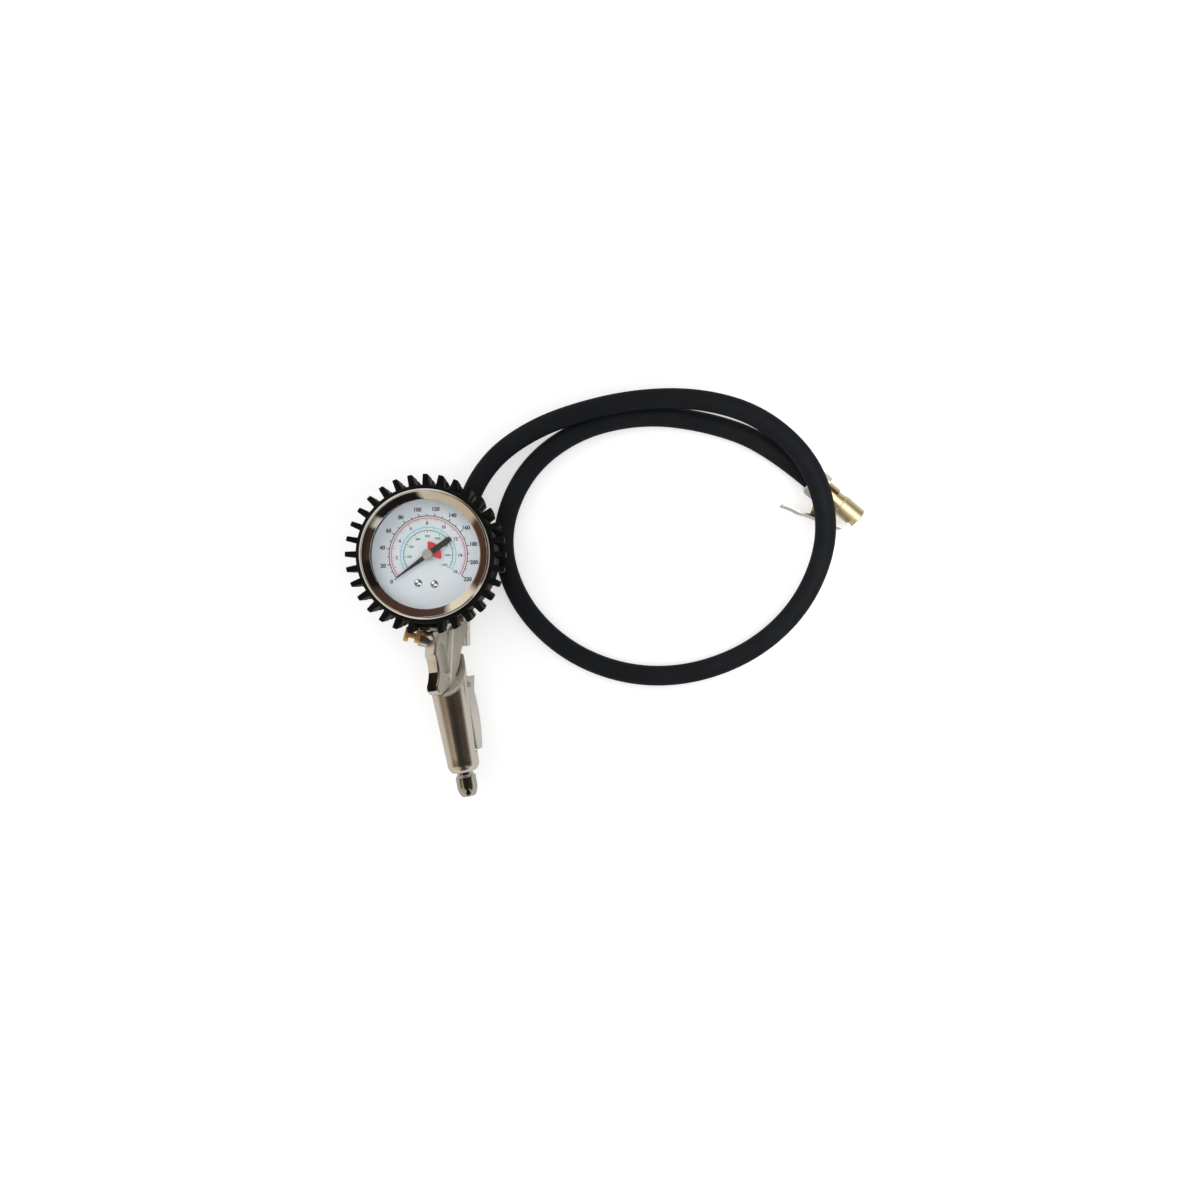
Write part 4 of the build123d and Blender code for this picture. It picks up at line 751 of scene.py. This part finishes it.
POINTER_LOW = 37.0
POINTER_HIGH = 37.5
NEEDLE_REACH = 20.0
NEEDLE_HALF_TIP = 0.3
NEEDLE_HALF_ROOT = 1.3
TAIL_SIZE = (13.4, 2.9, POINTER_HIGH - POINTER_LOW)
TAIL_MIDDLE = (-7.9, 0, (POINTER_HIGH + POINTER_LOW) / 2)
TAIL_ROUND = 1.4
FAN_HALF = 54           # degrees to each side of the tail
FAN_INNER = 2.3
FAN_OUTER = 6.9
FAN_THICK = 0.4
POINTER_AT_REST = GAUGE @ Matrix.Rotation(math.radians(POINTER_ZERO), 4, "Z")


def make_pointer():
    """A tapered needle with a round-ended tail, and the red fan under it."""
    needle = block((2, 2, 2))
    for vert in needle.verts:
        at_tip = vert.co.x > 0
        vert.co.x = NEEDLE_REACH if at_tip else 0.0
        vert.co.y = math.copysign(NEEDLE_HALF_TIP if at_tip else NEEDLE_HALF_ROOT, vert.co.y)
        vert.co.z = POINTER_HIGH if vert.co.z > 0 else POINTER_LOW
    tail = block(TAIL_SIZE, TAIL_MIDDLE)
    upright = [edge for edge in tail.edges if abs(edge.verts[0].co.z - edge.verts[1].co.z) > 0.1]
    bmesh.ops.bevel(
        tail, geom=upright, offset=TAIL_ROUND, segments=8, profile=0.5, affect="EDGES", material=-1,
    )
    join_into(needle, tail)
    built(
        "pointer_needle", needle, POINTER_BLACK, POINTER_AT_REST, "pointer",
        hides=("pointer",),
    )
    fan = bmesh.new()
    ring_print(fan, FAN_INNER, FAN_OUTER, 180 - FAN_HALF, 180 + FAN_HALF, 24)
    solid = bmesh.ops.extrude_face_region(fan, geom=fan.faces[:])
    raised = [item for item in solid["geom"] if isinstance(item, bmesh.types.BMVert)]
    bmesh.ops.translate(fan, vec=(0, 0, FAN_THICK), verts=raised)
    place = POINTER_AT_REST @ Matrix.Translation((0, 0, POINTER_LOW - FAN_THICK))
    built("pointer_balance", fan, FAN_RED, place, "pointer", hides=("pointer_fan",))


SCREW_BELOW = 14.8      # screws under the dial's middle
SCREW_BESIDE = 4.2
SCREWS_TURNED = math.radians(4)
SLOT_SIZE = (5.0, 0.5, 1.0)
SLOT_HEIGHT = 0.95
SLOT_TURNED = math.radians(35)


def make_dial_screws():
    """Two domed chrome heads, each with a real slot whose walls are painted dark as shade."""
    heads = bmesh.new()
    slots = bmesh.new()
    reach = math.hypot(SCREW_BELOW, SCREW_BESIDE)
    for side in (-1, 1):
        heading = math.atan2(-SCREW_BELOW, side * SCREW_BESIDE) - SCREWS_TURNED
        place = Matrix.Translation((reach * math.cos(heading), reach * math.sin(heading), DIAL_FACE))
        head = lathe([
            (0, 0.95), (0.7, 0.91), (1.3, 0.75), (1.75, 0.5), (2.05, 0.2), (2.1, 0.0), (0, 0.0),
        ], steps=40, closed=False)
        join_into(heads, head, place)
        slot = block(SLOT_SIZE, (0, 0, SLOT_HEIGHT))
        join_into(slots, slot, place @ Matrix.Rotation(SLOT_TURNED, 4, "Z"))
    screws = built("screw_heads", heads, CHROME, GAUGE, hides=("dial_screws",))
    cut_with(screws, slots, GAUGE)


make_dial_print()
make_pointer()
make_dial_screws()
dressed("dial_plate", DIAL_WHITE)
dressed("lens", GLASS)
dressed("pointer_cap", SATIN_STEEL, body="pointer")
dressed("gauge_case", CASE_PAINT)

# ---- Gun, lever, plug and bleed valve ----
WINDOW_SIZE = (7.0, 9.4, 7.2)
WINDOW_MIDDLE = (-11.2, 6.6, 0.0)
gun = dressed("gun_body", CASTING)
# The window's walls take the painted shade of cut walls.
cut_with(gun, block(WINDOW_SIZE, WINDOW_MIDDLE, bevel=0.7), GUN)
dressed("trigger_lever", NICKEL_LEVER, body="trigger")
dressed("trigger_pin", STEEL)
dressed("inlet_plug", PLUG_STEEL)
dressed("bleed_bush", BUTTON_BRASS)
dressed("bleed_button", BUTTON_BRASS, body="bleed")
dressed("hose_ferrule", NICKEL)

# ---- Chuck ----
chuck_pieces = [
    dressed("chuck_nut", NICKEL_LEVER),
    dressed("chuck_body", CHUCK_BRASS),
    dressed("chuck_seal", SEAL_RUBBER),
    dressed("depressor_pin", BRASS),
    dressed("clip_bracket", BRASS),
    dressed("clip_lever", STEEL, body="clip"),
    dressed("clip_pin", STEEL),
    dressed("clip_spring", STEEL),
]

# ---- Inner pieces that keep their machined shape ----
INNER_FINISHES = {
    "lens_gasket": SEAL_RUBBER, "pointer_arbor": STEEL, "sector_gear": BRASS, "sector_pivot_pin": STEEL,
    "movement_link": BRASS, "movement_back_plate": BRASS, "movement_front_plate": BRASS,
    "movement_pillars": BRASS, "hairspring": STEEL, "bourdon_tube": BRASS, "tube_tip": BRASS,
    "gauge_socket": BRASS, "stem_washer": FIBRE, "valve_stem": BRASS, "valve_face": SEAL_RUBBER,
    "valve_seat": BRASS, "valve_gland": BRASS, "gland_seal": SEAL_RUBBER, "valve_spring": STEEL,
    "bleed_seal": SEAL_RUBBER, "hose_barb": BRASS,
}
for node, material in INNER_FINISHES.items():
    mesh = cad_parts[node].data
    mesh.materials.clear()
    mesh.materials.append(material)


# ---- Floor, world and lamps ----
FLOOR_MIDDLE = (0.09, 0.02, 0.0)
GLOW_NEAR = 0.52        # what the camera sees on the floor round the object, and far from it
GLOW_FAR = 0.78
GLOW_ON_OBJECT = 0.16


def make_floor():
    """White paper that takes the shadow, with a plain tone where it is mirrored."""
    mesh = bpy.data.meshes.new("floor")
    shape = bmesh.new()
    bmesh.ops.create_grid(shape, x_segments=2, y_segments=2, size=3.0)
    bmesh.ops.translate(shape, vec=(0, 0, -0.0002), verts=shape.verts)
    shape.to_mesh(mesh)
    shape.free()
    floor = bpy.data.objects.new("floor", mesh)
    bpy.context.scene.collection.objects.link(floor)
    material = bpy.data.materials.new("paper_floor")
    material.use_nodes = True
    tree = material.node_tree
    shader = tree.nodes["Principled BSDF"]
    shader.inputs["Base Color"].default_value = (0.62, 0.62, 0.62, 1)
    shader.inputs["Roughness"].default_value = 0.9
    shader.inputs["Specular IOR Level"].default_value = 0.1
    shader.inputs["Emission Color"].default_value = (1, 1, 1, 1)
    light = tree.nodes.new("ShaderNodeLightPath")
    place = tree.nodes.new("ShaderNodeTexCoord")
    away = tree.nodes.new("ShaderNodeVectorMath")
    away.operation = "DISTANCE"
    away.inputs[1].default_value = FLOOR_MIDDLE
    far = tree.nodes.new("ShaderNodeMapRange")
    far.inputs["From Min"].default_value = 0.45
    far.inputs["From Max"].default_value = 1.1
    far.inputs["To Min"].default_value = GLOW_NEAR
    far.inputs["To Max"].default_value = GLOW_FAR
    tree.links.new(place.outputs["Object"], away.inputs[0])
    tree.links.new(away.outputs["Value"], far.inputs["Value"])
    glow = tree.nodes.new("ShaderNodeMapRange")
    glow.inputs["To Min"].default_value = GLOW_ON_OBJECT
    tree.links.new(far.outputs["Result"], glow.inputs["To Max"])
    tree.links.new(light.outputs["Is Camera Ray"], glow.inputs["Value"])
    tree.links.new(glow.outputs["Result"], shader.inputs["Emission Strength"])
    mirrored = tree.nodes.new("ShaderNodeEmission")
    mirrored.inputs["Color"].default_value = (0.62, 0.59, 0.54, 1)
    mix = tree.nodes.new("ShaderNodeMixShader")
    tree.links.new(light.outputs["Is Glossy Ray"], mix.inputs["Fac"])
    tree.links.new(shader.outputs["BSDF"], mix.inputs[1])
    tree.links.new(mirrored.outputs["Emission"], mix.inputs[2])
    tree.links.new(mix.outputs["Shader"], tree.nodes["Material Output"].inputs["Surface"])
    mesh.materials.append(material)


# Colours round the object by heading in degrees: the walls above it, and the bright horizon.
STUDIO_ROUND = [
    (0, (0.055, 0.030, 0.022)), (11, (0.06, 0.034, 0.025)), (15, (0.010, 0.008, 0.007)),
    (45, (0.010, 0.008, 0.007)), (52, (0.065, 0.036, 0.026)), (121, (0.085, 0.048, 0.034)),
    (128, (0.88, 0.78, 0.60)), (147, (0.80, 0.70, 0.54)), (153, (0.075, 0.036, 0.024)),
    (201, (0.085, 0.042, 0.028)), (206, (0.55, 0.44, 0.31)), (240, (0.58, 0.49, 0.37)),
    (256, (0.62, 0.53, 0.40)), (261, (0.010, 0.008, 0.007)), (312, (0.010, 0.008, 0.007)),
    (316, (0.62, 0.58, 0.50)), (326, (0.62, 0.58, 0.50)), (331, (0.05, 0.028, 0.02)),
    (360, (0.055, 0.030, 0.022)),
]
HORIZON_ROUND = [
    (0, (0.80, 0.76, 0.69)), (22, (0.72, 0.66, 0.57)), (48, (0.24, 0.15, 0.10)), (62, (0.26, 0.17, 0.11)),
    (90, (0.88, 0.86, 0.83)), (180, (0.78, 0.69, 0.57)), (200, (0.70, 0.61, 0.49)),
    (270, (0.86, 0.83, 0.79)), (360, (0.80, 0.76, 0.69)),
]
ZENITH = (0.022, 0.015, 0.012, 1)


def heading_ramp(tree, heading, colours):
    """A ring of colours read by heading."""
    around = tree.nodes.new("ShaderNodeValToRGB")
    ramp = around.color_ramp
    while len(ramp.elements) < len(colours):
        ramp.elements.new(0.5)
    for element, (degrees, colour) in zip(ramp.elements, colours):
        element.position = degrees / 360
        element.color = (*colour, 1)
    tree.links.new(heading, around.inputs["Fac"])
    return around.outputs["Color"]


def blend_by_height(tree, height, span, low, high):
    """Goes from one colour to another between two heights."""
    rise = tree.nodes.new("ShaderNodeMapRange")
    rise.interpolation_type = "SMOOTHSTEP"
    rise.inputs["From Min"].default_value, rise.inputs["From Max"].default_value = span
    mixed = tree.nodes.new("ShaderNodeMix")
    mixed.data_type = "RGBA"
    tree.links.new(height, rise.inputs["Value"])
    tree.links.new(rise.outputs["Result"], mixed.inputs["Factor"])
    tree.links.new(low, mixed.inputs["A"])
    if isinstance(high, tuple):
        mixed.inputs["B"].default_value = high
    else:
        tree.links.new(high, mixed.inputs["B"])
    return mixed.outputs["Result"]


WALLS_FROM = (0.02, 0.48)       # heights between which the horizon goes over into the walls
ZENITH_FROM = (0.80, 0.88)
AMBIENT = 0.45


def make_world():
    """White for the camera, an even light, and a studio that only reflections see."""
    world = bpy.data.worlds.new("studio")
    bpy.context.scene.world = world
    world.use_nodes = True
    tree = world.node_tree
    tree.nodes.clear()
    output = tree.nodes.new("ShaderNodeOutputWorld")
    place = tree.nodes.new("ShaderNodeTexCoord")
    split = tree.nodes.new("ShaderNodeSeparateXYZ")
    tree.links.new(place.outputs["Generated"], split.inputs["Vector"])
    angle = tree.nodes.new("ShaderNodeMath")
    angle.operation = "ARCTAN2"
    tree.links.new(split.outputs["Y"], angle.inputs[0])
    tree.links.new(split.outputs["X"], angle.inputs[1])
    share = tree.nodes.new("ShaderNodeMapRange")
    share.inputs["From Min"].default_value = -math.pi
    share.inputs["From Max"].default_value = math.pi
    share.inputs["To Min"].default_value = -0.5
    share.inputs["To Max"].default_value = 0.5
    wrap = tree.nodes.new("ShaderNodeMath")
    wrap.operation = "WRAP"
    wrap.inputs[1].default_value = 1.0
    wrap.inputs[2].default_value = 0.0
    tree.links.new(angle.outputs[0], share.inputs["Value"])
    tree.links.new(share.outputs["Result"], wrap.inputs[0])
    heading = wrap.outputs[0]
    height = split.outputs["Z"]
    walls = heading_ramp(tree, heading, STUDIO_ROUND)
    horizon = heading_ramp(tree, heading, HORIZON_ROUND)
    lower = blend_by_height(tree, height, WALLS_FROM, horizon, walls)
    surround = blend_by_height(tree, height, ZENITH_FROM, lower, ZENITH)
    reflected = tree.nodes.new("ShaderNodeBackground")
    tree.links.new(surround, reflected.inputs["Color"])
    ambient = tree.nodes.new("ShaderNodeBackground")
    ambient.inputs["Color"].default_value = (0.97, 0.98, 1.0, 1)
    ambient.inputs["Strength"].default_value = AMBIENT
    white = tree.nodes.new("ShaderNodeBackground")
    white.inputs["Color"].default_value = (1, 1, 1, 1)
    light = tree.nodes.new("ShaderNodeLightPath")
    first = tree.nodes.new("ShaderNodeMixShader")
    second = tree.nodes.new("ShaderNodeMixShader")
    tree.links.new(light.outputs["Is Glossy Ray"], first.inputs["Fac"])
    tree.links.new(ambient.outputs[0], first.inputs[1])
    tree.links.new(reflected.outputs[0], first.inputs[2])
    tree.links.new(light.outputs["Is Camera Ray"], second.inputs["Fac"])
    tree.links.new(first.outputs[0], second.inputs[1])
    tree.links.new(white.outputs[0], second.inputs[2])
    tree.links.new(second.outputs[0], output.inputs["Surface"])


def lamp(name, place, target, size, power, colour, in_reflections=False, spread=180):
    """A panel of light that shines on a point and isn't seen itself."""
    data = bpy.data.lights.new(name, "AREA")
    data.shape = "RECTANGLE"
    data.size = size[0]
    data.size_y = size[1]
    data.energy = power
    data.color = colour
    data.spread = math.radians(spread)
    holder = bpy.data.objects.new(name, data)
    holder.location = place
    holder.rotation_mode = "QUATERNION"
    holder.rotation_quaternion = (Vector(target) - Vector(place)).to_track_quat("-Z", "Y")
    holder.visible_camera = False
    holder.visible_glossy = in_reflections
    bpy.context.scene.collection.objects.link(holder)


make_floor()
make_world()
lamp("top", (0.09, 0.03, 0.9), (0.09, 0.02, 0.0), (0.7, 0.7), 2.3, (1.0, 0.99, 0.97))
lamp("key", (-0.55, 0.55, 0.75), (0.08, 0.02, 0.0), (0.9, 0.9), 3.2, (1.0, 0.98, 0.95))
lamp("fill", (0.75, -0.35, 0.7), (0.08, 0.02, 0.0), (0.6, 0.6), 1.8, (0.95, 0.98, 1.0))
lamp(
    "chuck_light", (0.256, 0.040, 0.133), (0.235, 0.055, 0.007), (0.20, 0.20), 0.056, (1.0, 0.97, 0.9),
    in_reflections=True, spread=70,
)

bpy.context.scene.view_settings.view_transform = "Standard"
